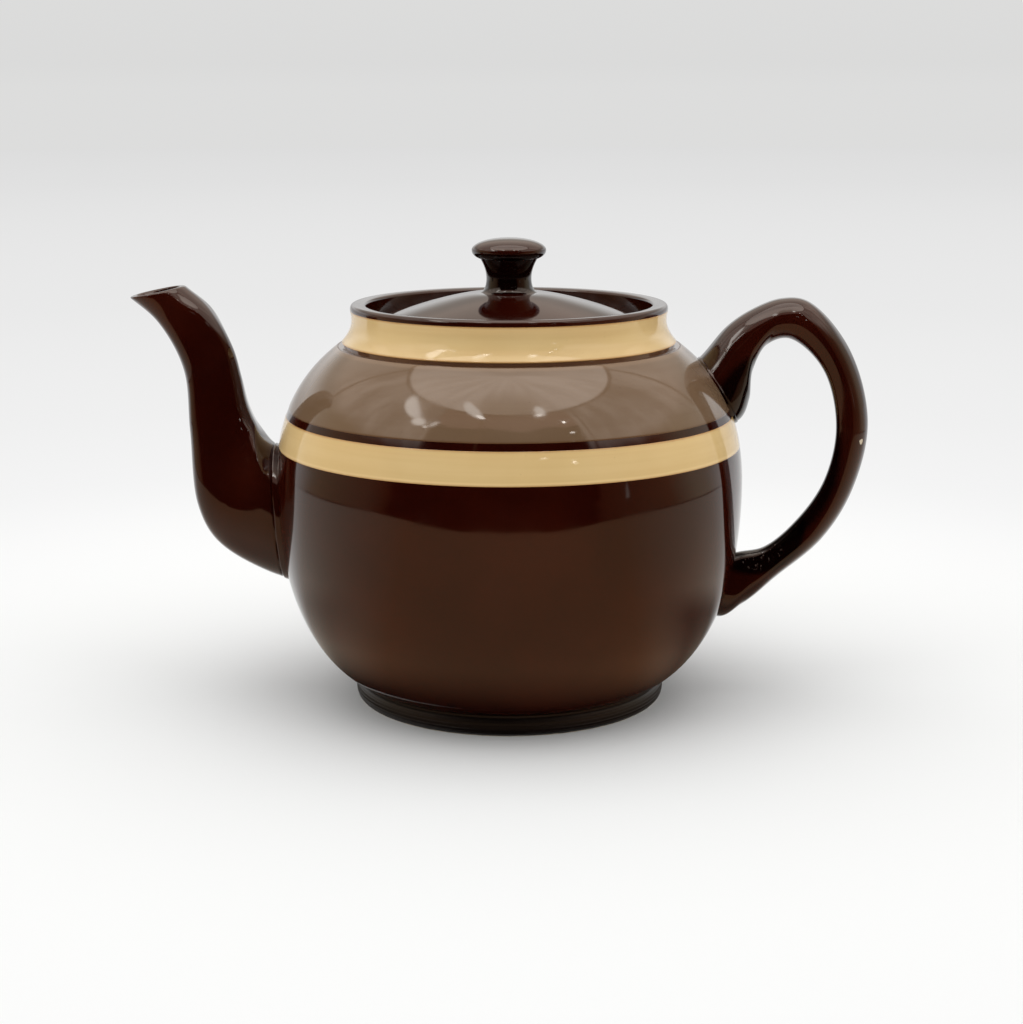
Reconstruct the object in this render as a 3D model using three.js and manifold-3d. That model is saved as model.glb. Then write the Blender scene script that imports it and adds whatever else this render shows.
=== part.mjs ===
// Glazed earthenware teapot with three bands of slip.
// Millimetres, +Z up, standing on z = 0, the spout towards -X and the handle towards +X.
// The origin is under the middle of the whole pot, so the pot's own axis stands a little to one side.

import * as THREE from 'three';
import { mergeVertices } from 'three/addons/utils/BufferGeometryUtils.js';
import Module from 'manifold-3d';

const wasm = await Module();
wasm.setup();

// Driving dimensions: the turned body

const bellyRadius = 76; // widest part, outside
const bellyHeight = 70.6; // height of the widest part
const shoulderRadius = 55.3; // where the shoulder ends under the neck
const shoulderHeight = 116.3;
const footRadius = 51.1; // widest part of the foot ring, a rounded bead
const footBeadHeight = 3.1; // height of that widest part
const footRingWidth = 4.6; // flat face that the pot stands on
const footEdge = 1.25; // how far that face's outer edge is tucked in under the bead
const footCove = { in: 1.6, up: 5.9 }; // hollow line between the bead and the belly
const bellyRoot = { in: 0.5, up: 6.8 }; // sharp lower edge of the belly over the cove
const recessDepth = 3; // hollow under the base, inside the foot ring
const bodyWall = 4.5;
const floorHeight = 9; // inside floor of the pot
const floorBlend = { corner: 6, reach: 15 }; // how the wall rounds into the floor

// How full the curves of the belly are, as the lengths of their handles

const bellyFlare = { out: 10.5, up: 5.5 };
const bellyFullness = { below: 41.7, above: 21.3 };
const shoulderFullness = { out: 14, down: 10.4 };

// Driving dimensions: the neck, its rolled lip and the gallery that the lid sits in

const creaseStep = { in: 1.5, up: 1.4 }; // tooled line between shoulder and neck
const neckRadius = 50.7; // narrowest part, outside
const neckHeight = 8.3; // from the shoulder to the narrowest part
const neckFlareHeight = 3.5; // how soon the foot of the neck turns upright
const lipRadius = 51.15; // widest part of the lip
const lipHeight = 5.1; // from the narrowest part to the crest
const lipRound = { out: 1.6, down: 1.8 }; // outer edge of the crest
const lipHollow = 3.6; // how far the crest slopes down on the inside
const galleryRadius = 46; // inside of the neck, round the lid
const galleryDepth = 9.1; // from the crest down to the ledge
const ledgeWidth = 5.5;
const ledgeThickness = 3.5;
const ledgeRoot = 4.6; // how far the ledge runs down into the wall
const edgeRound = 0.8; // worn corners of the ledge and the lid

// Driving dimensions: the bands of slip, as depths below the shoulder's end

const neckBand = { top: -11.4, bottom: -1.4 };
const shoulderBand = { top: 0.1, bottom: 19.9 };
const beltBand = { top: 22.1, bottom: 32 };
const slipThickness = 0.5;

// Driving dimensions: the lid and its knob

const lidPlay = 1.2; // free room round the edge of the lid
const flangePlay = 0.9; // free room round the flange in the throat
const lidEdgeThickness = 2.5;
const domeRise = 9.6; // from the lid's edge up to the knob's seat
const domeShoulder = { in: 3.7, up: 2.9 }; // how the dome springs from the lid's edge
const domeCrown = { out: 6.6, down: 0.1 }; // how it flattens towards the knob
const domeThickness = 3.6;
const flangeDepth = 12.3; // below the lid's seat
const flangeWall = 3.2;
const steamHole = { diameter: 3.4, reach: 17 }; // behind the knob

const knobHeight = 17.1;
const knobRadius = 11.95; // rim of the knob's disc
const knobWaist = 7.15;
const knobBaseRadius = 9.6;
const knobWaistHeight = 3.6;
const knobFootRise = 0.7; // how thin the knob's foot runs out on the lid
const knobDisc = { radius: 9.2, height: 10.4, lift: 0.9 }; // where the neck of the knob meets its disc
const knobRimHeight = 13.15; // widest part of the disc
const knobCrown = { out: 7.5, up: 1.95 }; // how round the top of the disc is

// Driving dimensions: spout and handle

const spoutWall = { root: 4, mouth: 2 };
const strainer = { holeDiameter: 3.6, pitch: 7.6, height: 61 };
const rootBury = 12; // how far a root is carried into the body before it is cut to fit

// Clearance between pieces that touch

const gap = 0.3;

// Fineness of the faceted surface

const turnSteps = 48;
const knobSteps = 24;
const holeSteps = 12;
const spoutSides = 18;
const handleSides = 16;

// Sections across the spout and the handle, from root to tip or root to root.
// Each edge has its reach beyond the belly and its depth below the shoulder's end.
// half is half of the section's width across the pot, along Y.
// A buried section lies inside the body, rootBury in from its surface.

const spoutSections = {
  buried: { buried: true, outerDepth: 80.5, innerDepth: 39.5, half: 19 },
  root: { outerReach: 3.5, outerDepth: 75, innerReach: 2, innerDepth: 32, half: 17 },
  swell: { outerReach: 20, outerDepth: 64.5, innerReach: 6.5, innerDepth: 26, half: 13.5 },
  front: { outerReach: 26, outerDepth: 52.5, innerReach: 9, innerDepth: 20, half: 11.5 },
  stem: { outerReach: 28, outerDepth: 28, innerReach: 11, innerDepth: 10.5, half: 9.5 },
  throat: { outerReach: 29.5, outerDepth: 8, innerReach: 13.5, innerDepth: 1, half: 9 },
  flare: { outerReach: 37, outerDepth: -7.5, innerReach: 20, innerDepth: -11.5, half: 9 },
  mouth: { outerReach: 46, outerDepth: -15.5, innerReach: 28.5, innerDepth: -19, half: 9 },
};

const handleSections = {
  upperBuried: { buried: true, outerDepth: 11.5, innerDepth: 29, half: 14 },
  upperRoot: { outerReach: -13.5, outerDepth: 4, innerReach: -1, innerDepth: 24.5, half: 12.5 },
  upperFillet: { outerReach: -5.5, outerDepth: -5.5, innerReach: 2, innerDepth: 18, half: 10.5 },
  rise: { outerReach: 2.5, outerDepth: -11, innerReach: 2.5, innerDepth: 10, half: 9.5 },
  crown: { outerReach: 12, outerDepth: -14.5, innerReach: 6.5, innerDepth: 1, half: 9 },
  top: { outerReach: 20.5, outerDepth: -13.5, innerReach: 14, innerDepth: -2, half: 9 },
  turn: { outerReach: 34, outerDepth: 1.5, innerReach: 25.5, innerDepth: 7, half: 8.5 },
  back: { outerReach: 40.8, outerDepth: 25.5, innerReach: 31, innerDepth: 26, half: 8.5 },
  grip: { outerReach: 36.5, outerDepth: 47.5, innerReach: 28, innerDepth: 45, half: 8.5 },
  drop: { outerReach: 27, outerDepth: 64, innerReach: 19, innerDepth: 59.5, half: 9 },
  lowerFillet: { outerReach: 12.5, outerDepth: 77, innerReach: 8.5, innerDepth: 68.5, half: 10 },
  lowerRoot: { outerReach: 0, outerDepth: 87, innerReach: 0, innerDepth: 70.5, half: 11.5 },
  lowerBuried: { buried: true, outerDepth: 94.5, innerDepth: 72.5, half: 12.5 },
};

const spoutRings = 20;
const handleRings = 36;
const spoutSquareness = 2; // an ellipse
const handleSquareness = 2.5; // a strap with well rounded edges

// Heights and radii that follow from the dimensions above

const lipCrest = shoulderHeight + neckHeight + lipHeight;
const ledgeHeight = lipCrest - galleryDepth;
const throatRadius = galleryRadius - ledgeWidth;
const lidSeat = ledgeHeight + gap;
const lidRadius = galleryRadius - lidPlay;
const flangeRadius = throatRadius - flangePlay;
const lidEdgeTop = lidSeat + lidEdgeThickness;
const knobSeat = lidEdgeTop + domeRise;
const bandRecess = slipThickness + gap;

// The origin is halfway between the tips of the spout and the handle

function furthest(sections) {
  const free = Object.values(sections).filter((section) => !section.buried);
  return Math.max(...free.map((section) => section.outerReach));
}

const potAxisX = (furthest(spoutSections) - furthest(handleSections)) / 2;

// Materials

const brownGlaze = new THREE.MeshStandardMaterial({ color: 0x3b1a0d, roughness: 0.12, metalness: 0 });
const creamSlip = new THREE.MeshStandardMaterial({ color: 0xd2b482, roughness: 0.18, metalness: 0 });
const taupeSlip = new THREE.MeshStandardMaterial({ color: 0x8f7c69, roughness: 0.15, metalness: 0 });

// Helpers: profiles in the plane of radius and height

function point(radius, height) {
  return new THREE.Vector2(radius, height);
}

function curve(start, startHandle, endHandle, end, steps) {
  return new THREE.CubicBezierCurve(start, startHandle, endHandle, end).getPoints(steps);
}

function bend(start, corner, end, steps) {
  return new THREE.QuadraticBezierCurve(start, corner, end).getPoints(steps);
}

function joined(...runs) {
  const points = [];
  for (const next of runs.flat()) {
    const last = points[points.length - 1];
    if (!last || last.distanceTo(next) > 0.01) points.push(next);
  }
  return points;
}

// Moves an outline square to itself; outward is positive on a run that climbs the outside
function offset(points, distance) {
  return points.map((here, i) => {
    const before = points[Math.max(i - 1, 0)];
    const after = points[Math.min(i + 1, points.length - 1)];
    const along = after.clone().sub(before).normalize();
    return point(here.x + along.y * distance, here.y - along.x * distance);
  });
}

function radiusAt(outline, height) {
  for (let i = 1; i < outline.length; i += 1) {
    const low = outline[i - 1];
    const high = outline[i];
    if (height >= low.y && height <= high.y) {
      return low.x + (high.x - low.x) * (height - low.y) / (high.y - low.y);
    }
  }
  return outline[outline.length - 1].x;
}

// The part of a climbing outline between two heights, with a point at each end
function stretch(outline, from, to) {
  const inside = outline.filter((p) => p.y > from + 0.05 && p.y < to - 0.05);
  return [point(radiusAt(outline, from), from), ...inside, point(radiusAt(outline, to), to)];
}

// Helpers: solids

function turned(points, steps) {
  return new THREE.LatheGeometry(points, steps).rotateX(Math.PI / 2);
}

function solid(geometry) {
  const bare = geometry.clone();
  bare.deleteAttribute('normal');
  bare.deleteAttribute('uv');
  const merged = mergeVertices(bare);
  const index = merged.index.array;
  const triangles = [];
  for (let i = 0; i < index.length; i += 3) {
    const [a, b, c] = index.slice(i, i + 3);
    if (a !== b && b !== c && c !== a) triangles.push(a, b, c);
  }
  return new wasm.Manifold(new wasm.Mesh({
    numProp: 3,
    vertProperties: new Float32Array(merged.attributes.position.array),
    triVerts: new Uint32Array(triangles),
  }));
}

function piece(name, shape, material) {
  const { vertProperties, triVerts } = shape.getMesh();
  const geometry = new THREE.BufferGeometry();
  geometry.setAttribute('position', new THREE.BufferAttribute(vertProperties, 3));
  geometry.setIndex(new THREE.BufferAttribute(triVerts, 1));
  geometry.computeVertexNormals();
  const mesh = new THREE.Mesh(geometry, material);
  mesh.name = name;
  return mesh;
}

// Outside of the body, from the outer edge of the foot's flat face up to the side of the lip

function bodyOutside() {
  const footOuter = point(footRadius - footEdge, 0);
  const bead = point(footRadius, footBeadHeight);
  const cove = point(footRadius - footCove.in, footCove.up);
  const bellyStart = point(footRadius - bellyRoot.in, bellyRoot.up);
  const widest = point(bellyRadius, bellyHeight);
  const bellyEnd = point(shoulderRadius, shoulderHeight);
  const neckStart = point(shoulderRadius - creaseStep.in, shoulderHeight + creaseStep.up);
  const neckEnd = point(neckRadius, shoulderHeight + neckHeight);
  const lipSide = point(lipRadius, lipCrest - lipRound.down);
  return joined(
    bend(footOuter, point(footRadius, footBeadHeight * 0.25), bead, 2),
    bend(bead, point(footRadius, (bead.y + cove.y) / 2), cove, 2),
    curve(
      bellyStart,
      point(bellyStart.x + bellyFlare.out, bellyStart.y + bellyFlare.up),
      point(bellyRadius, bellyHeight - bellyFullness.below),
      widest,
      8,
    ),
    curve(
      widest,
      point(bellyRadius, bellyHeight + bellyFullness.above),
      point(shoulderRadius + shoulderFullness.out, shoulderHeight - shoulderFullness.down),
      bellyEnd,
      8,
    ),
    bend(neckStart, point(neckRadius, neckStart.y + neckFlareHeight), neckEnd, 3),
    bend(neckEnd, point(neckRadius, (neckEnd.y + lipSide.y) / 2), lipSide, 2),
  );
}

const outside = bodyOutside();

// Outline between a band's edges, measured down from the shoulder's end
function bandRun(band, trim) {
  return stretch(outside, shoulderHeight - band.bottom + trim, shoulderHeight - band.top - trim);
}

// Body: foot, belly and neck in one turned shell, recessed for the slip, with the strainer holes

function potBody() {
  const crest = point(lipRadius - lipRound.out, lipCrest);
  const lip = [
    ...bend(point(lipRadius, lipCrest - lipRound.down), point(lipRadius, lipCrest), crest, 2),
    ...bend(crest, point(galleryRadius, lipCrest), point(galleryRadius, lipCrest - lipHollow), 3),
  ];
  const bands = [beltBand, shoulderBand, neckBand];
  const skin = [];
  let from = 0;
  for (const band of bands) {
    skin.push(...stretch(outside, from, shoulderHeight - band.bottom));
    skin.push(...offset(bandRun(band, 0), -bandRecess));
    from = shoulderHeight - band.top;
  }
  skin.push(point(radiusAt(outside, from), from));

  const inner = offset(outside.filter((p) => p.y >= bellyRoot.up && p.y <= shoulderHeight), -bodyWall);
  const coveTop = ledgeHeight - ledgeThickness - ledgeRoot;
  const wall = stretch(inner, floorHeight * 2, coveTop).reverse();
  const thinned = wall.filter((p, i) => i % 3 === 0 || i === wall.length - 1);
  const wallFoot = thinned[thinned.length - 1];
  const ledgeUnder = ledgeHeight - ledgeThickness;
  const footInner = point(outside[0].x - footRingWidth, 0);

  const profile = joined(
    [point(0, recessDepth), point(footInner.x - edgeRound, recessDepth), footInner],
    skin,
    lip,
    bend(point(galleryRadius, ledgeHeight + edgeRound), point(galleryRadius, ledgeHeight),
      point(galleryRadius - edgeRound, ledgeHeight), 1),
    bend(point(throatRadius + edgeRound, ledgeHeight), point(throatRadius, ledgeHeight),
      point(throatRadius, ledgeHeight - edgeRound), 1),
    bend(point(throatRadius, ledgeUnder + edgeRound),
      point(thinned[0].x, ledgeUnder), thinned[0], 3),
    thinned,
    bend(wallFoot, point(wallFoot.x - floorBlend.corner, floorHeight),
      point(wallFoot.x - floorBlend.reach, floorHeight), 2),
    [point(0, floorHeight)],
  );
  let body = solid(turned(profile, turnSteps));
  for (const [across, up] of strainerPattern()) {
    const drill = new THREE.CylinderGeometry(
      strainer.holeDiameter / 2,
      strainer.holeDiameter / 2,
      bodyWall * 6,
      holeSteps,
    );
    drill.rotateZ(Math.PI / 2).translate(-bellyRadius + bodyWall, across, strainer.height + up);
    body = body.subtract(solid(drill));
  }
  return body;
}

// One hole in the middle and six round it
function strainerPattern() {
  const places = [[0, 0]];
  for (let i = 0; i < 6; i += 1) {
    const angle = i * Math.PI / 3 + Math.PI / 6;
    places.push([strainer.pitch * Math.cos(angle), strainer.pitch * Math.sin(angle)]);
  }
  return places;
}

// A band of slip: a thin ring that fills its recess flush with the body

function slipBand(band) {
  const face = bandRun(band, gap);
  const back = offset(face, -slipThickness).reverse();
  const ring = [...face, ...back, face[0].clone()];
  return solid(turned(ring, turnSteps));
}

// Spout and handle: cross-sections swept between two edges

function rings(sections, count, squareness, sides, shrink) {
  const edge = (side) => new THREE.CatmullRomCurve3(Object.values(sections).map((section) => {
    const height = shoulderHeight - section[`${side}Depth`];
    const buried = radiusAt(outside, height) - rootBury;
    const radius = section.buried ? buried : bellyRadius + section[`${side}Reach`];
    return new THREE.Vector3(radius, section.half, height);
  }));
  const outer = edge('outer');
  const inner = edge('inner');
  const all = [];
  for (let i = 0; i < count; i += 1) {
    const t = i / (count - 1);
    const a = outer.getPoint(t);
    const b = inner.getPoint(t);
    const half = a.y;
    a.y = 0;
    b.y = 0;
    const across = b.clone().sub(a);
    const thin = shrink(t);
    const reach = across.length() / 2 - thin;
    const centre = a.clone().add(b).multiplyScalar(0.5);
    across.normalize();
    const ring = [];
    for (let k = 0; k < sides; k += 1) {
      const angle = 2 * Math.PI * k / sides;
      const c = Math.cos(angle);
      const s = Math.sin(angle);
      const u = Math.sign(c) * Math.abs(c) ** (2 / squareness) * reach;
      const w = Math.sign(s) * Math.abs(s) ** (2 / squareness) * (half - thin);
      ring.push(centre.clone().addScaledVector(across, u).add(new THREE.Vector3(0, w, 0)));
    }
    all.push(ring);
  }
  return all;
}

function swept(all) {
  const sides = all[0].length;
  const middle = (ring) => {
    const sum = new THREE.Vector3();
    for (const p of ring) sum.add(p);
    return sum.divideScalar(ring.length);
  };
  const positions = [...all.flat(), middle(all[0]), middle(all[all.length - 1])];
  const start = all.length * sides;
  const faces = [];
  for (let k = 0; k < sides; k += 1) {
    const next = (k + 1) % sides;
    for (let i = 0; i < all.length - 1; i += 1) {
      const low = i * sides;
      const high = low + sides;
      faces.push(low + k, low + next, high + k, low + next, high + next, high + k);
    }
    const last = (all.length - 1) * sides;
    faces.push(start, next, k, start + 1, last + k, last + next);
  }
  const geometry = new THREE.BufferGeometry();
  geometry.setAttribute('position', new THREE.BufferAttribute(
    new Float32Array(positions.flatMap((p) => [p.x, p.y, p.z])), 3));
  geometry.setIndex(faces);
  return geometry;
}

function envelope() {
  const skin = offset(outside, gap);
  const top = skin[skin.length - 1];
  return solid(turned([point(0, -1), point(skin[0].x, -1), ...skin, point(0, top.y)], turnSteps));
}

function spout() {
  const shell = swept(rings(spoutSections, spoutRings, spoutSquareness, spoutSides, () => 0));
  const thin = (t) => spoutWall.root + (spoutWall.mouth - spoutWall.root) * t;
  const bore = rings(spoutSections, spoutRings, spoutSquareness, spoutSides, thin);
  const last = bore[bore.length - 1];
  const before = bore[bore.length - 2];
  bore.push(last.map((p, k) => p.clone().add(p.clone().sub(before[k]))));
  // The sections climb from root to mouth, so mirroring them to -X also turns their faces outwards
  return solid(shell.scale(-1, 1, 1))
    .subtract(solid(swept(bore).scale(-1, 1, 1)))
    .subtract(envelope());
}

function handle() {
  const bar = swept(rings(handleSections, handleRings, handleSquareness, handleSides, () => 0));
  return solid(bar).subtract(envelope());
}

// Lid: a low dome with a flange that hangs in the throat, and the steam hole

function lidCover() {
  const flangeInner = flangeRadius - flangeWall;
  const flangeBottom = lidSeat - flangeDepth;
  const seatEdge = point(knobBaseRadius + gap, knobSeat);
  const rimTop = point(lidRadius - edgeRound, lidEdgeTop);
  const underTop = point(0, knobSeat - domeThickness);
  const underEdge = point(flangeInner, lidEdgeTop - domeThickness);
  const profile = joined(
    [underTop],
    bend(
      point(knobBaseRadius, underTop.y),
      point(flangeInner * 0.7, underEdge.y + domeRise * 0.4),
      underEdge,
      3,
    ),
    bend(point(flangeInner, flangeBottom + edgeRound), point(flangeInner, flangeBottom),
      point(flangeInner + edgeRound, flangeBottom), 1),
    bend(point(flangeRadius - edgeRound, flangeBottom), point(flangeRadius, flangeBottom),
      point(flangeRadius, flangeBottom + edgeRound), 1),
    [point(flangeRadius, lidSeat)],
    bend(point(lidRadius - edgeRound, lidSeat), point(lidRadius, lidSeat),
      point(lidRadius, lidSeat + edgeRound), 1),
    bend(point(lidRadius, lidEdgeTop - edgeRound), point(lidRadius, lidEdgeTop), rimTop, 2),
    curve(
      rimTop,
      point(rimTop.x - domeShoulder.in, rimTop.y + domeShoulder.up),
      point(seatEdge.x + domeCrown.out, seatEdge.y - domeCrown.down),
      seatEdge,
      6,
    ),
    [point(0, knobSeat)],
  );
  const drill = new THREE.CylinderGeometry(
    steamHole.diameter / 2,
    steamHole.diameter / 2,
    (domeRise + domeThickness) * 2,
    holeSteps,
  );
  drill.rotateX(Math.PI / 2).translate(0, steamHole.reach, lidEdgeTop);
  return solid(turned(profile, turnSteps)).subtract(solid(drill));
}

// Knob: a flared foot, a waist and a low domed disc

function lidKnob() {
  const base = knobSeat + gap;
  const rim = point(knobRadius, base + knobRimHeight);
  const discEdge = point(knobDisc.radius, base + knobDisc.height);
  const waist = point(knobWaist, base + knobWaistHeight);
  const top = base + knobHeight;
  const profile = joined(
    [point(0, base)],
    bend(point(knobBaseRadius, base), point(knobWaist, base + knobFootRise), waist, 3),
    bend(waist, point(knobWaist, (waist.y + discEdge.y) / 2), discEdge, 3),
    bend(discEdge, point(knobRadius, discEdge.y + knobDisc.lift), rim, 2),
    curve(rim, point(knobRadius, rim.y + knobCrown.up), point(knobCrown.out, top), point(0, top), 6),
  );
  return solid(turned(profile, knobSteps));
}

// Assembly

const teapot = new THREE.Group();
teapot.position.x = potAxisX;
teapot.add(
  piece('pot_body', potBody(), brownGlaze),
  piece('slip_band_neck', slipBand(neckBand), creamSlip),
  piece('slip_band_shoulder', slipBand(shoulderBand), taupeSlip),
  piece('slip_band_belt', slipBand(beltBand), creamSlip),
  piece('spout', spout(), brownGlaze),
  piece('handle', handle(), brownGlaze),
  piece('lid_cover', lidCover(), brownGlaze),
  piece('lid_knob', lidKnob(), brownGlaze),
);

export default teapot;
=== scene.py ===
"""Brown glazed earthenware teapot with cream and taupe slip, dressed around its fixed frame.

Outlines are in millimetres, measured from the pot's own axis and from the table. Meshes are in metres.
"""

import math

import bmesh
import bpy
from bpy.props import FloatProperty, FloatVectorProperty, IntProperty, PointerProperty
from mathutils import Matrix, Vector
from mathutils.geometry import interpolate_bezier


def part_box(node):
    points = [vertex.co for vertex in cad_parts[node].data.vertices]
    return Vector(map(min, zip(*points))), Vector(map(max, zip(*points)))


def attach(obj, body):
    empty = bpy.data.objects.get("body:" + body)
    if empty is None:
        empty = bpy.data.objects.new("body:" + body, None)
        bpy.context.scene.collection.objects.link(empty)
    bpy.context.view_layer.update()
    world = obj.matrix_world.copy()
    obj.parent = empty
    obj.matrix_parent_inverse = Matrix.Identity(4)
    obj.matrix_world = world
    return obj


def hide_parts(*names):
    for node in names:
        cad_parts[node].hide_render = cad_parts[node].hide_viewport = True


bl_info = {
    "name": "Glazed earthenware teapot",
    "version": (1, 0, 0),
    "blender": (4, 5, 0),
    "location": "3D View > Sidebar > Teapot",
    "description": "Turns, lutes and glazes a round teapot with slip bands around its frame",
    "category": "Add Mesh",
}

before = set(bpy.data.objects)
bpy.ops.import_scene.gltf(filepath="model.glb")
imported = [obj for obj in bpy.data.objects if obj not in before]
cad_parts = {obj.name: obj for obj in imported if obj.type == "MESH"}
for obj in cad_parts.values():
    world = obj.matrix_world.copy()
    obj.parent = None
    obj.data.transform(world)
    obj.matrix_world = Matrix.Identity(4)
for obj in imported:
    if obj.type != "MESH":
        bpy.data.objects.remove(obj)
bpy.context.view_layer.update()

MM = 0.001
GAP = 0.3
WELD = 2e-6


def box_mm(node):
    low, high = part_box(node)
    return low / MM, high / MM


BODY_LOW, BODY_HIGH = box_mm("pot_body")
KNOB_LOW, KNOB_HIGH = box_mm("lid_knob")
AXIS_X = (BODY_LOW.x + BODY_HIGH.x) / 2
BELLY_RADIUS = (BODY_HIGH.y - BODY_LOW.y) / 2
LIP_CREST = BODY_HIGH.z


# Sizes and colours that a user would change


def length(name, description, millimetres):
    """A length property, shown in the scene's own unit."""
    return FloatProperty(
        name=name, description=description, default=millimetres * MM, unit="LENGTH", precision=5
    )


def band(name, description, millimetres):
    """Where a coat of slip starts and ends."""
    return FloatVectorProperty(
        name=name,
        description=description,
        default=[value * MM for value in millimetres],
        size=2,
        unit="LENGTH",
        precision=5,
    )


def colour(name, description, value):
    return FloatVectorProperty(
        name=name, description=description, default=value, subtype="COLOR", size=3, min=0, max=1
    )


class TeapotBodySizes(bpy.types.PropertyGroup):
    belly_radius: length("Belly radius", "Widest part of the pot", BELLY_RADIUS)
    belly_height: length("Belly height", "Height of the widest part", 70.6)
    shoulder_radius: length("Shoulder radius", "Where the shoulder ends under the neck", 55.3)
    shoulder_height: length("Shoulder height", "Where the shoulder ends under the neck", 116.3)
    foot_radius: length("Foot radius", "Widest part of the foot ring, a rounded bead", 51.1)
    bead_height: length("Bead height", "Height of the foot ring's widest part", 3.1)
    foot_height: length("Foot height", "Lower edge of the belly over the foot", 6.8)
    neck_radius: length("Neck radius", "Narrowest part of the neck", 50.7)
    lip_radius: length("Lip radius", "Widest part of the lip", 51.15)
    gallery_radius: length("Gallery radius", "Inside of the neck round the lid", 46)
    gallery_depth: length("Gallery depth", "From the lip's crest to the lid's ledge", 9.1)
    wall: length("Wall", "Thickness of the body", 4.5)
    neck_band: band("Neck band", "Bottom and top of the slip, up from the shoulder's end", (1.25, 11.4))
    shoulder_band: band("Shoulder band", "Bottom and top, up from the shoulder's end", (-19.9, -0.1))
    belt_band: band("Belt", "Bottom and top, up from the shoulder's end", (-32, -22.1))
    slip_thickness: length("Slip thickness", "Depth of the coats of slip", 0.45)
    turn_steps: IntProperty(
        name="Turn steps", description="Faces round every turned piece", default=192, min=24
    )


class TeapotFittings(bpy.types.PropertyGroup):
    lid_radius: length("Lid radius", "Edge of the lid", 44.8)
    flange_radius: length("Flange radius", "Ring under the lid that hangs in the throat", 39.6)
    lid_edge: length("Lid edge", "Thickness of the lid's edge", 2.5)
    steam_hole: length("Steam hole", "Diameter of the hole behind the knob", 3.4)
    knob_radius: length("Knob radius", "Rim of the knob's disc", (KNOB_HIGH.y - KNOB_LOW.y) / 2)
    spout_wall_root: length("Spout wall at the root", "Thickness where it is luted on", 4)
    spout_wall_mouth: length("Spout wall at the mouth", "Thickness at the pouring lip", 2)
    strainer_hole: length("Strainer hole", "Diameter of the holes behind the spout", 3.6)
    strainer_pitch: length("Strainer pitch", "From the middle hole to those round it", 7.6)


class TeapotColours(bpy.types.PropertyGroup):
    brown: colour("Brown glaze", "Where the glaze is thick", (0.0175, 0.0017, 0.0006))
    russet: colour("Thin glaze", "Where the glaze has run thin", (0.040, 0.0052, 0.0017))
    cream: colour("Cream slip", "The neck and the belt", (0.74, 0.53, 0.25))
    taupe: colour("Taupe slip", "The shoulder", (0.166, 0.104, 0.061))
    clay: colour("Fired clay", "Chips and the bare foot", (0.60, 0.50, 0.36))
    floor: colour("Floor", "The plain pale floor", (0.87, 0.875, 0.875))


class TeapotLights(bpy.types.PropertyGroup):
    sky: FloatProperty(
        name="Sky", description="Brightness of the even light all round", default=1.12, min=0
    )
    softbox: FloatProperty(
        name="Softbox", description="Power of the softbox overhead", default=3.7, min=0, unit="POWER"
    )
    # The strength below scales the painted lamp reflections on the tent, which give no light.
    painted_lamps: FloatProperty(
        name="Lamps", description="Strength of the lamps that the glaze mirrors", default=1.0, min=0
    )


# Outlines in the plane of radius and height, in millimetres


def at(radius, height):
    return Vector((radius, height))


def curve(start, start_handle, end_handle, end, steps):
    return [at(p.x, p.y) for p in interpolate_bezier(start, start_handle, end_handle, end, steps + 1)]


def bend(start, corner, end, steps):
    """A curve from start to end that leaves and arrives in the direction of the corner."""
    return curve(start, start.lerp(corner, 2 / 3), end.lerp(corner, 2 / 3), end, steps)


def arc(centre, across, up, start, stop, steps):
    angles = [math.radians(start + (stop - start) * i / steps) for i in range(steps + 1)]
    return [at(centre.x + across * math.cos(a), centre.y + up * math.sin(a)) for a in angles]


def joined(*runs):
    points = []
    for run in runs:
        for p in run:
            if not points or (points[-1] - p).length > 0.004:
                points.append(p)
    return points


def offset(points, distance):
    """The outline moved square to itself, outwards on a run that climbs the outside."""
    moved = []
    for i, here in enumerate(points):
        before = points[max(i - 1, 0)]
        after = points[min(i + 1, len(points) - 1)]
        along = (after - before).normalized()
        moved.append(at(here.x + along.y * distance, here.y - along.x * distance))
    return moved


def radius_at(outline, height):
    for low, high in zip(outline, outline[1:]):
        if low.y <= height <= high.y:
            return low.x + (high.x - low.x) * (height - low.y) / max(high.y - low.y, 1e-9)
    return outline[-1].x


def stretch(outline, low, high):
    """The part of a climbing outline between two heights, with a point at each."""
    inside = [p for p in outline if low + 0.02 < p.y < high - 0.02]
    return [at(radius_at(outline, low), low), *inside, at(radius_at(outline, high), high)]


FOOT_EDGE = 1.25
FOOT_RING_WIDTH = 4.6
FOOT_COVE = (0.9, 5.95)
BELLY_ROOT_IN = 0.5
BELLY_FLARE = (10.5, 5.5)
BELLY_BELOW = 41.7
BELLY_ABOVE = 21.3
SHOULDER_FULLNESS = (14, 10.4)
CREASE = (1.5, 1.4)
NECK_RISE = 8.3
NECK_FLARE = 3.5
LIP_ROUND = (1.6, 1.8)
LIP_EDGE = (0.5, 0.3)
LIP_HOLLOW = 1.15
CREASE_DEPTH = 0.12
CREASE_SINK = 0.3
# Painted light: a brown far lighter than the body's glaze, which the glaze in the groove under the neck
# takes so that it looks lit.
CREASE_LIT_TONE = (0.15, 0.072, 0.038)
FOOT_LINES = (1.5, 2.5, 3.6, 4.7)
FOOT_LINE = (0.16, 0.13)
SHOULDER_PIT = ((21.9, -62.2, 104.9), 0.5)


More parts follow.
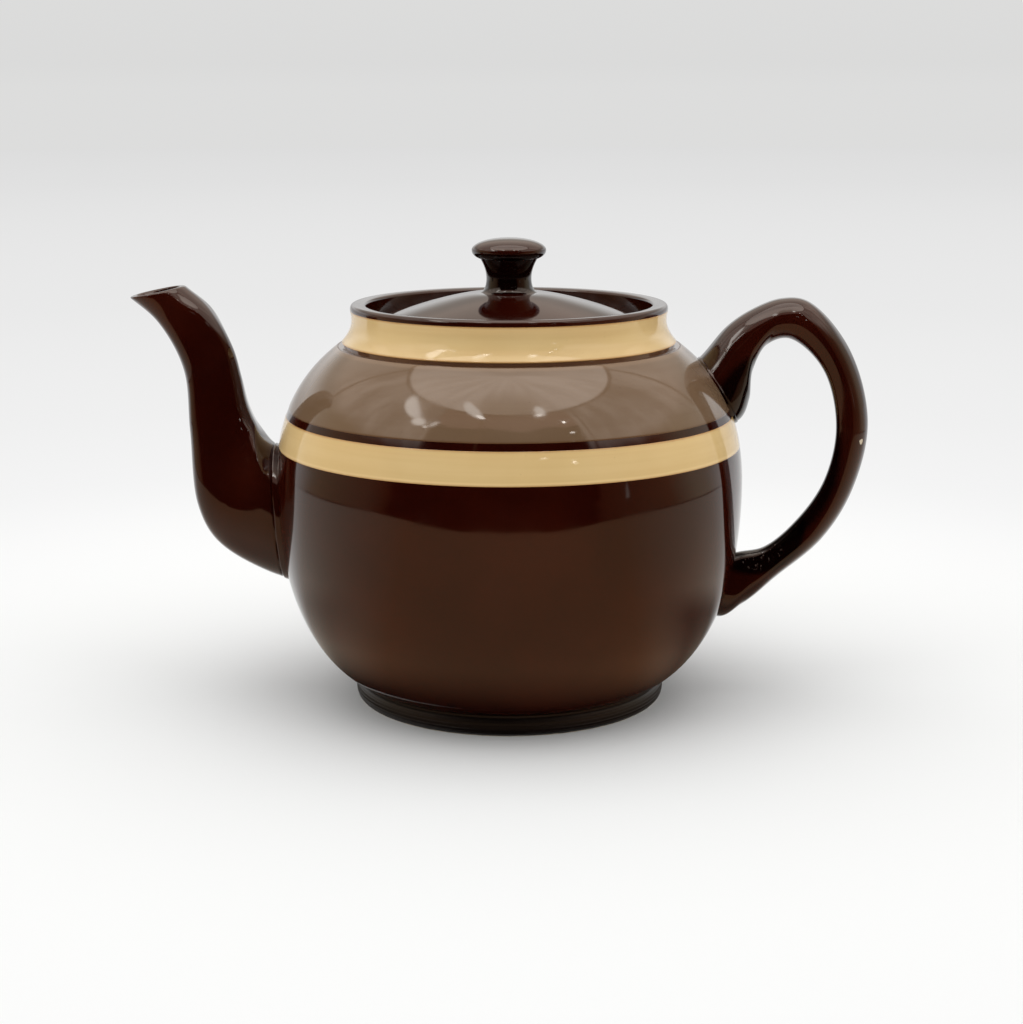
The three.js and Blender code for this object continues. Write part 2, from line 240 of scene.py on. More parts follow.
def body_outside(sizes):
    """Outline from the outer edge of the foot's flat face up to the side of the lip."""
    foot = sizes.foot_radius / MM
    bead = at(foot, sizes.bead_height / MM)
    cove = at(foot - FOOT_COVE[0], FOOT_COVE[1])
    root = at(foot - BELLY_ROOT_IN, sizes.foot_height / MM)
    widest = at(sizes.belly_radius / MM, sizes.belly_height / MM)
    shoulder = at(sizes.shoulder_radius / MM, sizes.shoulder_height / MM)
    crease = at(shoulder.x - CREASE[0], shoulder.y + CREASE[1])
    neck = at(sizes.neck_radius / MM, shoulder.y + NECK_RISE)
    lip_side = at(sizes.lip_radius / MM, LIP_CREST - LIP_ROUND[1])
    return joined(
        bend(at(foot - FOOT_EDGE, 0), at(foot, bead.y * 0.25), bead, 10),
        bend(bead, at(foot, bead.y + (cove.y - bead.y) * 0.8), cove, 14),
        [at(cove.x, root.y - (root.x - cove.x) * BELLY_FLARE[1] / BELLY_FLARE[0])],
        curve(root, root + at(*BELLY_FLARE), at(widest.x, widest.y - BELLY_BELOW), widest, 56),
        curve(widest, at(widest.x, widest.y + BELLY_ABOVE),
              at(shoulder.x + SHOULDER_FULLNESS[0], shoulder.y - SHOULDER_FULLNESS[1]), shoulder, 48),
        bend(shoulder, at(crease.x + 0.5, crease.y - 0.9), crease, 5),
        bend(crease, at(neck.x, crease.y + NECK_FLARE), neck, 20),
        bend(neck, at(neck.x, (neck.y + lip_side.y) / 2), lip_side, 10),
    )


def band_edges(sizes, band_sizes):
    """The heights of a coat's two edges."""
    shoulder = sizes.shoulder_height / MM
    return shoulder + band_sizes[0] / MM, shoulder + band_sizes[1] / MM


# Meshes


def turned(outline, steps, closed=False):
    """Spins an outline round the pot's axis."""
    bm = bmesh.new()
    verts = [bm.verts.new((p.x * MM, 0, p.y * MM)) for p in outline]
    pairs = list(zip(verts, verts[1:]))
    if closed:
        pairs.append((verts[-1], verts[0]))
    edges = [bm.edges.new(pair) for pair in pairs]
    bmesh.ops.spin(
        bm,
        geom=verts + edges,
        cent=(0, 0, 0),
        axis=(0, 0, 1),
        angle=math.tau,
        steps=steps,
        use_merge=True,
        use_duplicate=False,
    )
    bmesh.ops.remove_doubles(bm, verts=bm.verts, dist=1e-7)
    bmesh.ops.recalc_face_normals(bm, faces=bm.faces)
    return bm


def drilled(piece, holes):
    """Cuts round holes through a piece. Each hole is (centre, direction, radius, length) in mm."""
    bm = bmesh.new()
    for centre, direction, radius, reach in holes:
        turn = Vector((0, 0, 1)).rotation_difference(direction).to_matrix().to_4x4()
        bmesh.ops.create_cone(
            bm,
            cap_ends=True,
            segments=32,
            radius1=radius * MM,
            radius2=radius * MM,
            depth=reach * MM,
            matrix=Matrix.Translation(centre * MM) @ turn,
        )
    mesh = bpy.data.meshes.new("drill")
    bm.to_mesh(mesh)
    bm.free()
    drill = bpy.data.objects.new("drill", mesh)
    bpy.context.scene.collection.objects.link(drill)
    cut = piece.modifiers.new("holes", "BOOLEAN")
    cut.object = drill
    cut.operation = "DIFFERENCE"
    cut.solver = "EXACT"
    bpy.context.view_layer.update()
    shape = piece.evaluated_get(bpy.context.evaluated_depsgraph_get())
    cut_mesh = bpy.data.meshes.new_from_object(shape)
    piece.modifiers.clear()
    piece.data = cut_mesh
    bpy.data.objects.remove(drill)
    tidy = bmesh.new()
    tidy.from_mesh(cut_mesh)
    bmesh.ops.remove_doubles(tidy, verts=tidy.verts, dist=WELD)
    bmesh.ops.dissolve_degenerate(tidy, edges=tidy.edges, dist=WELD)
    tidy.to_mesh(cut_mesh)
    tidy.free()


def soften(mesh, sharp_angle):
    """Smooth shading, with a hard edge wherever the surface turns by more than the angle."""
    bm = bmesh.new()
    bm.from_mesh(mesh)
    for face in bm.faces:
        face.smooth = True
    for edge in bm.edges:
        edge.smooth = edge.calc_face_angle(0) < math.radians(sharp_angle)
    bm.to_mesh(mesh)
    bm.free()


def finish_piece(bm, name, body, node, material, holes=(), sharp_angle=38):
    """Makes the object, on the pot's axis, and hands it to the frame in place of its CAD node."""
    mesh = bpy.data.meshes.new(name)
    bm.to_mesh(mesh)
    bm.free()
    piece = bpy.data.objects.new(name, mesh)
    bpy.context.scene.collection.objects.link(piece)
    if holes:
        drilled(piece, holes)
    piece.data.transform(Matrix.Translation((AXIS_X * MM, 0, 0)))
    piece.data.name = name
    soften(piece.data, sharp_angle)
    piece.data.materials.clear()
    piece.data.materials.append(material)
    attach(piece, body)
    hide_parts(node)
    return piece


# Swept forms: spout and handle

# Each row is one cross-section: its outer edge and its inner edge, both as (beyond the belly's radius,
# below the shoulder's end), and half of its width across the pot. The first row of the spout and the
# first and last of the handle lie inside the body, so their reach is measured from its surface.

BURY = 12
ROOT_MIDDLE = 75
SAG = 1.3
SAG_START = (-0.4, 2.8)
SAG_REACH = (3.2, 7.5)
SAG_HEIGHTS = (48, 42)
# Painted shade on the handle: the glaze is darkened on its inner face and round the low root's tip, where
# little light reaches.
HANDLE_PAINTED_SHADE = (
    ((87, 0, 83), (23.0, 300, 32), 0.0, None),
    ((82, 0, 57), (17, 300, 15.3), 0.0, None),
)
HANDLE_SCUFFS = (
    ((85, 0, 48), (7, 300, 5.5)),
    ((104, 0, 84), (4, 300, 9)),
    ((71.5, 0, 115.7), (3, 300, 2)),
)

SPOUT_SECTIONS = (
    ((0, 80.5), (0, 39.5), 19),
    ((3.5, 75), (2, 32), 17),
    ((20, 64.5), (6.5, 26), 13.5),
    ((26, 52.5), (9, 20), 11.5),
    ((28, 28), (11, 10.5), 9.5),
    ((29.5, 8), (13.5, 1), 9),
    ((37, -7.5), (20, -11.5), 9),
    ((46, -15.5), (28.5, -19), 9),
)

# The handle's rows add where it is widest, as a share of the way in, how full its inner and its outer
# side are, and its twist in degrees. A fullness of 2 is round, 1 is two flat faces and 6 is a flat strap.

HANDLE_SECTIONS = (
    ((0, 11.5), (0, 29), 14, (0.58, 2.2, 2.2, 0)),
    ((-13.5, 4), (-1, 24.5), 12.5, (0.58, 2.2, 2.2, 0)),
    ((-5.5, -5.5), (2, 18), 10.5, (0.55, 2.0, 2.2, 0)),
    ((2.5, -11), (2.5, 10), 9.5, (0.50, 1.7, 2.2, 0)),
    ((12, -14.5), (6.5, 1), 9, (0.46, 1.8, 2.2, 1)),
    ((20.5, -13.5), (14, -2), 9, (0.50, 2.6, 2.1, 5)),
    ((34, 1.5), (25.5, 7), 8.5, (0.55, 4.4, 1.9, 11)),
    ((41, 25.5), (31, 26), 8.5, (0.58, 6.0, 1.9, 13)),
    ((36.9, 47.8), (27.7, 44.8), 8.5, (0.50, 6.0, 1.9, 14)),
    ((27.4, 64.5), (18.6, 59), 9, (0.38, 6.0, 2.1, 16)),
    ((12.5, 77.6), (8.3, 67.8), 10, (0.34, 6.0, 2.2, 16)),
    ((0, 87.5), (0, 69.7), 11.5, (0.36, 6.0, 2.2, 16)),
    ((0, 95), (0, 71.7), 12.5, (0.38, 6.0, 2.2, 16)),
)


def edge_points(sections, side, buried, outside, sizes):
    """An edge of the sections as points (reach, half width, height)."""
    top = sizes.shoulder_height / MM
    belly = sizes.belly_radius / MM
    points = []
    for i, section in enumerate(sections):
        beyond, below = section[side]
        height = top - below
        reach = radius_at(outside, height) - BURY if i in buried else belly + beyond
        points.append(Vector((reach, section[2], height)))
    return points


def along(points, t):
    """A point on a smooth curve that passes through the points, t from 0 to 1."""
    place = t * (len(points) - 1)
    i = min(int(place), len(points) - 2)
    start, end = points[i], points[i + 1]
    before = points[i - 1] if i > 0 else start * 2 - end
    after = points[i + 2] if i + 2 < len(points) else end * 2 - start
    a = (start - before).length ** 0.5
    b = (end - start).length ** 0.5
    c = (after - end).length ** 0.5
    leave = ((start - before) / a - (end - before) / (a + b) + (end - start) / b) * b
    arrive = ((end - start) / b - (after - start) / (b + c) + (after - end) / c) * b
    w = place - i
    cubic = (start - end) * 2 + leave + arrive
    square = (end - start) * 3 - leave * 2 - arrive
    return start + leave * w + square * w * w + cubic * w ** 3


def straight_along(points, t):
    """A point on the straight lines from point to point, t from 0 to 1."""
    place = t * (len(points) - 1)
    i = min(int(place), len(points) - 2)
    return points[i].lerp(points[i + 1], place - i)


def ring_at(outer, inner, t, sides, thin, widest, inner_power, outer_power, twist=0):
    """One cross-section. widest is where it is widest, as a share of the way in from the outer edge, and
    twist turns it about that place, in degrees."""
    a = along(outer, t)
    b = along(inner, t)
    half = a.y - thin
    a.y = 0
    b.y = 0
    across = b - a
    depth = across.length - 2 * thin
    across.normalize()
    middle = a + across * (thin + depth * widest)
    turn_c, turn_s = math.cos(math.radians(twist)), math.sin(math.radians(twist))
    ring = []
    for k in range(sides):
        angle = math.tau * k / sides
        c, s = math.cos(angle), math.sin(angle)
        power = inner_power if c > 0 else outer_power
        reach = depth * (1 - widest) if c > 0 else depth * widest
        u = math.copysign(abs(c) ** (2 / power), c) * reach
        w = math.copysign(abs(s) ** (2 / power), s) * half
        u, w = u * turn_c - w * turn_s, w * turn_c + u * turn_s
        ring.append(middle + across * u + Vector((0, w, 0)))
    return ring


def outside_by(point, outside):
    """How far a point is outside the body, in millimetres, measured level."""
    return math.hypot(point.x, point.y) - radius_at(outside, point.z)


def first_outside(column, outside, depth):
    """Where a run of points that starts inside the body comes within depth of its surface."""
    last = outside_by(column[0], outside) + depth
    for i in range(1, len(column)):
        here = outside_by(column[i], outside) + depth
        if here > 0:
            return i - 1 + last / (last - here)
        last = here
    raise RuntimeError("a root doesn't reach the body's surface")


ROOT_EASE = 1.5


def recut(rings, outside, depth, count, both_ends=False):
    """The same sweep with its ends on the body, depth under its surface, and closer rings at its roots."""
    shares = [i / (count - 1) for i in range(count)]
    if both_ends:
        eased = [(2 * min(s, 1 - s)) ** ROOT_EASE / 2 for s in shares]
        shares = [e if s < 0.5 else 1 - e for s, e in zip(shares, eased)]
    else:
        shares = [s ** ROOT_EASE for s in shares]
    columns = []
    for column in zip(*rings):
        start = first_outside(column, outside, depth)
        stop = len(column) - 1
        if both_ends:
            stop -= first_outside(column[::-1], outside, depth)
        points = []
        for share in shares:
            place = start + (stop - start) * share
            i = min(int(place), len(column) - 2)
            points.append(column[i].lerp(column[i + 1], place - i))
        columns.append(points)
    return [list(ring) for ring in zip(*columns)]


def collared(rings, outside, height, width, groove, above=0):
    """Raises a collar round a root, as slip squeezed out of the joint leaves, and scores it off."""
    raised = []
    for ring in rings:
        middle = sum(ring, Vector()) / len(ring)
        points = []
        for p in ring:
            away = outside_by(p, outside)
            near = 1 - min(max((away - width) / (width * 0.35), 0), 1)
            rise = height * near * near * (3 - 2 * near)
            rise -= groove * max(0, 1 - abs(away / width - 1.3) * 4)
            if p.z < above:
                rise = 0
            points.append(p + (p - middle).normalized() * rise)
        raised.append(points)
    return raised


def share_between(value, start, stop):
    """0 at the start and before it, 1 at the stop and past it, and smooth between them."""
    share = min(max((value - start) / (stop - start), 0), 1)
    return share * share * (3 - 2 * share)


def sagged(rings, outside):
    """Fills out the underside of the low root, where the soft clay was pressed on."""
    filled = []
    for ring in rings:
        points = []
        for p in ring:
            away = outside_by(p, outside)
            near = share_between(away, *SAG_START) * (1 - share_between(away, *SAG_REACH))
            low = share_between(p.z, *SAG_HEIGHTS)
            points.append(p - Vector((0, 0, SAG * near * low)))
        filled.append(points)
    return filled


def swept(rings, side):
    """Extrudes a circle through all the rings. side is -1 towards the spout and 1 towards the handle."""
    bm = bmesh.new()
    first = bmesh.ops.create_circle(bm, cap_ends=False, segments=len(rings[0]), radius=1)["verts"]

    def place(verts, ring):
        for vert, p in zip(verts, ring):
            vert.co = Vector((p.x * side, p.y, p.z)) * MM

    place(first, rings[0])
    verts = first
    for ring in rings[1:]:
        loop = [edge for edge in bm.edges if edge.is_wire or edge.is_boundary]
        held = set(verts)
        loop = [edge for edge in loop if edge.verts[0] in held and edge.verts[1] in held]
        made = bmesh.ops.extrude_edge_only(bm, edges=loop)["geom"]
        new = {v for v in made if isinstance(v, bmesh.types.BMVert)}
        verts = [next(e.other_vert(v) for e in v.link_edges if e.other_vert(v) in new) for v in verts]
        place(verts, ring)
    return bm, first, verts


def boundary_of(bm, verts):
    held = set(verts)
    return [e for e in bm.edges if e.is_boundary and e.verts[0] in held and e.verts[1] in held]


def capped(bm, verts):
    """Closes an end with a fan of triangles."""
    made = bmesh.ops.edgeloop_fill(bm, edges=boundary_of(bm, verts))
    bmesh.ops.poke(bm, faces=made["faces"])


# Shader groups


def rgba(value):
    return (value[0], value[1], value[2], 1.0)


class Nodes:
    """Short calls for building a node tree."""

    def __init__(self, tree):
        self.tree = tree

    def add(self, kind, inputs=None, **settings):
        node = self.tree.nodes.new("ShaderNode" + kind)
        for key, value in settings.items():
            setattr(node, key, value)
        for key, value in (inputs or {}).items():
            self.feed(node.inputs[key], value)
        return node

    def feed(self, socket, value):
        if isinstance(value, bpy.types.NodeSocket):
            self.tree.links.new(value, socket)
        else:
            socket.default_value = value

    def math(self, operation, a, b=0.0, c=0.0, clamp=False):
        node = self.add("Math", operation=operation, use_clamp=clamp)
        for socket, value in zip(node.inputs, (a, b, c)):
            self.feed(socket, value)
        return node.outputs[0]

    def ramp(self, value, low, high, to_low=0.0, to_high=1.0, smooth=True):
        node = self.add("MapRange", interpolation_type="SMOOTHSTEP" if smooth else "LINEAR")
        for key, item in (
            ("Value", value),
            ("From Min", low),
            ("From Max", high),
            ("To Min", to_low),
            ("To Max", to_high),
        ):
            self.feed(node.inputs[key], item)
        return node.outputs["Result"]

    def mix(self, factor, a, b, blend="MIX"):
        node = self.add("Mix", data_type="RGBA", blend_type=blend)
        self.feed(node.inputs["Factor"], factor)
        self.feed(node.inputs["A"], a)
        self.feed(node.inputs["B"], b)
        return node.outputs["Result"]

    def stops(self, value, places):
        """A colour ramp. places are (position, colour)."""
        node = self.add("ValToRGB", {"Fac": value})
        elements = node.color_ramp.elements
        while len(elements) < len(places):
            elements.new(0.5)
        for element, (position, tone) in zip(elements, places):
            element.position = position
            element.color = rgba(tone)
        return node.outputs["Color"]

    def noise(self, vector, scale, detail=2.0, roughness=0.5):
        inputs = {"Vector": vector, "Scale": scale, "Detail": detail, "Roughness": roughness}
        return self.add("TexNoise", inputs).outputs["Fac"]

    def shifted(self, vector, move, scale=(1, 1, 1)):
        inputs = {"Vector": vector, "Location": move, "Scale": scale}
        return self.add("Mapping", inputs).outputs["Vector"]


def shader_group(name, inputs, outputs):
    """A new node group: its short calls, its input node and its output node."""
    tree = bpy.data.node_groups.new(name, "ShaderNodeTree")
    kinds = {"vector": "NodeSocketVector", "colour": "NodeSocketColor", "float": "NodeSocketFloat"}
    for label, kind, value in inputs:
        socket = tree.interface.new_socket(label, in_out="INPUT", socket_type=kinds[kind])
        if value is not None:
            socket.default_value = value
    for label, kind in outputs:
        tree.interface.new_socket(label, in_out="OUTPUT", socket_type=kinds[kind])
    nodes = Nodes(tree)
    return nodes, tree.nodes.new("NodeGroupInput"), tree.nodes.new("NodeGroupOutput")


def fired_glaze_group():
    """Glaze fired over clay: pooling, small specks, pinholes and the slow swell of its skin."""
    nodes, given, out = shader_group(
        "Fired glaze",
        (
            ("Coordinates", "vector", None),
            ("Thick", "colour", (0.03, 0.005, 0.002, 1)),
            ("Thin", "colour", (0.06, 0.012, 0.005, 1)),
            ("Pooling", "float", 0.5),
            ("Specks", "float", 0.3),
            ("Pinholes", "float", 0.5),
            ("Swell", "float", 1.0),
        ),
        (("Color", "colour"), ("Roughness", "float"), ("Height", "float")),
    )
    where = given.outputs["Coordinates"]
    clouds = nodes.noise(where, 24, 3, 0.55)
    drift = nodes.ramp(clouds, 0.38, 0.72)
    fine = nodes.noise(nodes.shifted(where, (0.3, 0.1, 0.7)), 420, 3, 0.6)
    grain = nodes.ramp(fine, 0.45, 0.75)
    amount = nodes.math("MULTIPLY", nodes.math("ADD", drift, nodes.math("MULTIPLY", grain, 0.07)),
                        given.outputs["Pooling"], clamp=True)
    base = nodes.mix(amount, given.outputs["Thick"], given.outputs["Thin"])
    dots = nodes.add("TexVoronoi", {"Vector": where, "Scale": 520.0}).outputs["Distance"]
    here = nodes.ramp(nodes.noise(where, 130, 1), 0.56, 0.66)
    speck = nodes.math("MULTIPLY", nodes.ramp(dots, 0.16, 0.06), here)
    speck = nodes.math("MULTIPLY", speck, given.outputs["Specks"], clamp=True)
    darker = nodes.mix(1.0, base, (0.25, 0.2, 0.18, 1), "MULTIPLY")
    nodes.feed(out.inputs["Color"], nodes.mix(speck, base, darker))

    hazy = nodes.noise(nodes.shifted(where, (0.9, 0.4, 0.2)), 70, 4, 0.65)
    nodes.feed(out.inputs["Roughness"], nodes.ramp(hazy, 0.35, 0.8, 0.045, 0.13))

    swell = nodes.math("SUBTRACT", nodes.noise(where, 34, 1), 0.5)
    peel = nodes.math("SUBTRACT", nodes.noise(nodes.shifted(where, (0.2, 0.5, 0.3)), 190, 1), 0.5)
    skin = nodes.math("MULTIPLY_ADD", peel, 0.0035, nodes.math("MULTIPLY", swell, 0.045))
    skin = nodes.math("MULTIPLY", skin, given.outputs["Swell"])
    pits = nodes.add("TexVoronoi", {"Vector": where, "Scale": 95.0}).outputs["Distance"]
    chosen = nodes.ramp(nodes.noise(nodes.shifted(where, (0.6, 0.2, 0.9)), 61, 0), 0.6, 0.64)
    pit = nodes.math("MULTIPLY", nodes.ramp(pits, 0.035, 0.012), chosen)
    pit = nodes.math("MULTIPLY", pit, given.outputs["Pinholes"])
    nodes.feed(out.inputs["Height"], nodes.math("MULTIPLY_ADD", pit, -0.12, skin))
    return nodes.tree


def table_wear_group():
    """Fine scratches and rubbed spots that use leaves on a glaze."""
    nodes, given, out = shader_group(
        "Table wear",
        (("Coordinates", "vector", None), ("Amount", "float", 0.5)),
        (("Mask", "float"), ("Height", "float")),
    )
    where = given.outputs["Coordinates"]
    total = None
    for move, scale, gate in (
        ((0.11, 0.23, 0.31), (18, 22, 900), 0.62),
        ((0.47, 0.05, 0.83), (700, 60, 24), 0.64),
        ((0.71, 0.37, 0.13), (40, 760, 30), 0.64),
    ):
        stretched = nodes.shifted(where, move, scale)
        marks = nodes.add("TexVoronoi", {"Vector": stretched, "Scale": 1.0}).outputs["Distance"]
        thin = nodes.ramp(marks, 0.055, 0.02)
        patch = nodes.ramp(nodes.noise(nodes.shifted(where, move), 46, 1), gate, gate + 0.05)
        layer = nodes.math("MULTIPLY", thin, patch)
        total = layer if total is None else nodes.math("MAXIMUM", total, layer)
    mask = nodes.math("MULTIPLY", total, given.outputs["Amount"], clamp=True)
    nodes.feed(out.inputs["Mask"], mask)
    nodes.feed(out.inputs["Height"], nodes.math("MULTIPLY", mask, -0.004))
    return nodes.tree


def chip_group():
    """A chip through the glaze: 1 inside, with a ragged edge."""
    nodes, given, out = shader_group(
        "Chip",
        (("Coordinates", "vector", None), ("Centre", "vector", None), ("Radius", "float", 0.001)),
        (("Mask", "float"),),
    )
    where = given.outputs["Coordinates"]
    reach = nodes.add("VectorMath", {0: where, 1: given.outputs["Centre"]}, operation="DISTANCE")
    ragged = nodes.math("SUBTRACT", nodes.noise(where, 900, 2), 0.5)
    near = nodes.math("DIVIDE", reach.outputs["Value"], given.outputs["Radius"])
    near = nodes.math("MULTIPLY_ADD", ragged, 1.3, near)
    nodes.feed(out.inputs["Mask"], nodes.ramp(near, 1.05, 0.9))
    return nodes.tree


def soft_ellipsoid_group():
    """1 inside an ellipsoid, with a soft edge. It places painted shade, painted light and scuffs on the
    glaze.
    """
    nodes, given, out = shader_group(
        "Soft ellipsoid",
        (("Coordinates", "vector", None), ("Centre", "vector", None), ("Radii", "vector", None)),
        (("Mask", "float"),),
    )
    reach = nodes.add("VectorMath", {
        0: given.outputs["Coordinates"],
        1: given.outputs["Centre"],
    }, operation="SUBTRACT").outputs["Vector"]
    share = nodes.add("VectorMath", {0: reach, 1: given.outputs["Radii"]}, operation="DIVIDE")
    length_of = nodes.add("VectorMath", {0: share.outputs["Vector"]}, operation="LENGTH")
    nodes.feed(out.inputs["Mask"], nodes.ramp(length_of.outputs["Value"], 1.06, 0.94))
    return nodes.tree


GROUPS = {}


def group(name):
    """The shared shader group, built on first use."""
    makers = {
        "Fired glaze": fired_glaze_group,
        "Table wear": table_wear_group,
        "Chip": chip_group,
        "Soft ellipsoid": soft_ellipsoid_group,
    }
    if name not in GROUPS:
        GROUPS[name] = makers[name]()
    return GROUPS[name]


def place_group(nodes, name, inputs):
    node = nodes.tree.nodes.new("ShaderNodeGroup")
    node.node_tree = group(name)
    for key, value in inputs.items():
        nodes.feed(node.inputs[key], value)
    return node


def new_material(name):
    material = bpy.data.materials.new(name)
    material.use_nodes = True
    material.node_tree.nodes.clear()
    return material, Nodes(material.node_tree)


GLAZE_IOR = 1.56
# Painted shade: this tint darkens the glaze's colour where a patch stands in for shade.
PAINTED_SHADE_TINT = (0.14, 0.18, 0.35, 1)
PIT_TONE = (0.006, 0.003, 0.002)


def finish_glaze(nodes, colour_in, roughness, height, clay_mask=None, clay=None):
    """The last step of every glazed surface: one glossy skin, and bare clay where it is chipped."""
    if clay_mask is not None:
        colour_in = nodes.mix(clay_mask, colour_in, rgba(clay))
        roughness = nodes.ramp(clay_mask, 0, 1, roughness, 0.85, smooth=False)
        height = nodes.math("MULTIPLY_ADD", clay_mask, -0.25, height)
    bump = nodes.add("Bump", {"Height": height, "Distance": MM, "Strength": 1.0})
    shader = nodes.add("BsdfPrincipled", {
        "Base Color": colour_in,
        "Roughness": roughness,
        "IOR": GLAZE_IOR,
        "Normal": bump.outputs["Normal"],
    })
    out = nodes.add("OutputMaterial")
    nodes.tree.links.new(shader.outputs["BSDF"], out.inputs["Surface"])


def brown_glaze(name, colours, pooling=0.5, move=(0, 0, 0), chips=(), bare_foot=False, painted_shade_and_light=(), scuffs=()):
    """Brown glaze. chips are (place, radius), painted_shade_and_light (place, radii, dullness, tone or None
    for painted shade that darkens the glaze) and scuffs (place, radii), in mm. bare_foot leaves the flat
    face unglazed."""
    material, nodes = new_material(name)
    object_at = nodes.add("TexCoord").outputs["Object"]
    where = nodes.shifted(object_at, move)
    glaze = place_group(nodes, "Fired glaze", {
        "Coordinates": where,
        "Thick": rgba(colours.brown),
        "Thin": rgba(colours.russet),
        "Pooling": pooling,
        "Specks": 0.5,
        "Pinholes": 1.0,
    })
    wear = place_group(nodes, "Table wear", {"Coordinates": where, "Amount": 0.55})
    surface_colour = nodes.mix(nodes.math("MULTIPLY", wear.outputs["Mask"], 0.5), glaze.outputs["Color"],
                       (0.16, 0.11, 0.08, 1))
    rough = nodes.math("MULTIPLY_ADD", wear.outputs["Mask"], 0.3, glaze.outputs["Roughness"])
    height = nodes.math("ADD", glaze.outputs["Height"], wear.outputs["Height"])
    # Painted shade and painted light: a patch without a tone darkens the glaze to stand in for shade; a
    # patch with a tone takes that tone instead.
    for place, radii, dullness, tone in painted_shade_and_light:
        mask = place_group(nodes, "Soft ellipsoid", {
            "Coordinates": object_at,
            "Centre": Vector(place) * MM,
            "Radii": Vector(radii) * MM,
        }).outputs["Mask"]
        painted_patch_tone = rgba(tone) if tone else nodes.mix(1.0, surface_colour, PAINTED_SHADE_TINT, "MULTIPLY")
        surface_colour = nodes.mix(mask, surface_colour, painted_patch_tone)
        rough = nodes.math("MAXIMUM", rough, nodes.math("MULTIPLY", mask, dullness))
    if scuffs:
        crumbs = nodes.noise(nodes.shifted(where, (0.4, 0.6, 0.2), (1, 1, 0.6)), 900, 2, 0.6)
        crumbs = nodes.ramp(crumbs, 0.60, 0.68)
    for place, radii in scuffs:
        patch = place_group(nodes, "Soft ellipsoid", {
            "Coordinates": object_at,
            "Centre": Vector(place) * MM,
            "Radii": Vector(radii) * MM,
        }).outputs["Mask"]
        scuffed = nodes.math("MULTIPLY", crumbs, patch)
        surface_colour = nodes.mix(nodes.math("MULTIPLY", scuffed, 0.25), surface_colour, (0.13, 0.075, 0.055, 1))
        rough = nodes.math("MULTIPLY_ADD", scuffed, 0.35, rough)
        height = nodes.math("MULTIPLY_ADD", scuffed, 0.03, height)
    bare = None
    for place, radius in chips:
        chip = place_group(nodes, "Chip", {
            "Coordinates": object_at,
            "Centre": Vector(place) * MM,
            "Radius": radius * MM,
        })
        mask = chip.outputs["Mask"]
        bare = mask if bare is None else nodes.math("MAXIMUM", bare, mask)
    if bare_foot:
        level = nodes.add("SeparateXYZ", {"Vector": object_at}).outputs["Z"]
        ragged = nodes.math("SUBTRACT", nodes.noise(object_at, 260, 2), 0.5)
        level = nodes.math("MULTIPLY_ADD", ragged, 0.0004, level)
        bare = nodes.ramp(level, 0.00035, 0.00015)
    finish_glaze(nodes, surface_colour, rough, height, bare, colours.clay)
    return material


def slip_under_glaze(name, colours, tone, edges, brown_specks, streaks, lines, pits):
    """Slip under clear glaze, darker where it thins at its two edges, given as heights in mm. lines are
    the strengths of the lighter lines at the bottom and the top, pits are (place, radius) in mm."""
    line_below, line_above = lines
    material, nodes = new_material(name)
    object_at = nodes.add("TexCoord").outputs["Object"]
    level = nodes.add("SeparateXYZ", {"Vector": object_at}).outputs["Z"]
    low, high = (edge * MM for edge in edges)
    wander = nodes.math("SUBTRACT", nodes.noise(object_at, 90, 2), 0.5)
    level = nodes.math("MULTIPLY_ADD", wander, 0.0003, level)
    from_low = nodes.math("SUBTRACT", level, low)
    from_high = nodes.math("SUBTRACT", high, level)
    nearest = nodes.math("MINIMUM", from_low, from_high)
    thin = nodes.ramp(nearest, 0.0007, 0.0)
    bands = nodes.noise(nodes.shifted(object_at, (0, 0, 0), (6, 6, 420)), 1.0, 3, 0.6)
    streak = nodes.ramp(bands, 0.35, 0.7)
    cloud = nodes.ramp(nodes.noise(object_at, 38, 3), 0.35, 0.7)
    shade = nodes.math("MULTIPLY_ADD", streak, streaks, nodes.math("MULTIPLY", cloud, streaks))
    darker = nodes.mix(1.0, rgba(tone), (0.80, 0.70, 0.55, 1), "MULTIPLY")
    base = nodes.mix(shade, rgba(tone), darker)
    glaze = place_group(nodes, "Fired glaze", {
        "Coordinates": object_at,
        "Thick": base,
        "Thin": base,
        "Pooling": 0.0,
        "Specks": brown_specks,
        "Pinholes": 0.8,
    })
    edge_tone = nodes.mix(1.0, glaze.outputs["Color"], (0.62, 0.42, 0.26, 1), "MULTIPLY")
    tinted = nodes.mix(nodes.math("MULTIPLY", thin, 0.75), glaze.outputs["Color"], edge_tone)
    if line_below:
        line = nodes.math("MULTIPLY", nodes.ramp(from_low, 0.0014, 0.0007), line_below)
        lighter = nodes.mix(1.0, tinted, (1.12, 1.16, 1.25, 1), "MULTIPLY")
        tinted = nodes.mix(line, tinted, lighter)
    if line_above:
        line = nodes.math("MULTIPLY", nodes.ramp(from_high, 0.0012, 0.0005), line_above)
        lighter = nodes.mix(1.0, glaze.outputs["Color"], (1.3, 1.3, 1.3, 1), "MULTIPLY")
        tinted = nodes.mix(line, tinted, lighter)
    wear = place_group(nodes, "Table wear", {"Coordinates": object_at, "Amount": 0.45})
    surface_colour = nodes.mix(nodes.math("MULTIPLY", wear.outputs["Mask"], 0.35), tinted, rgba(colours.brown))
    rough = nodes.math("MULTIPLY_ADD", wear.outputs["Mask"], 0.25, glaze.outputs["Roughness"])
    height = nodes.math("ADD", glaze.outputs["Height"], wear.outputs["Height"])
    pitted = None
    for place, radius in pits:
        pitted = place_group(nodes, "Chip", {
            "Coordinates": object_at,
            "Centre": Vector(place) * MM,
            "Radius": radius * MM,
        }).outputs["Mask"]
    finish_glaze(nodes, surface_colour, rough, height, pitted, PIT_TONE)
    return material


# The pieces

STRAINER_HEIGHT = 61


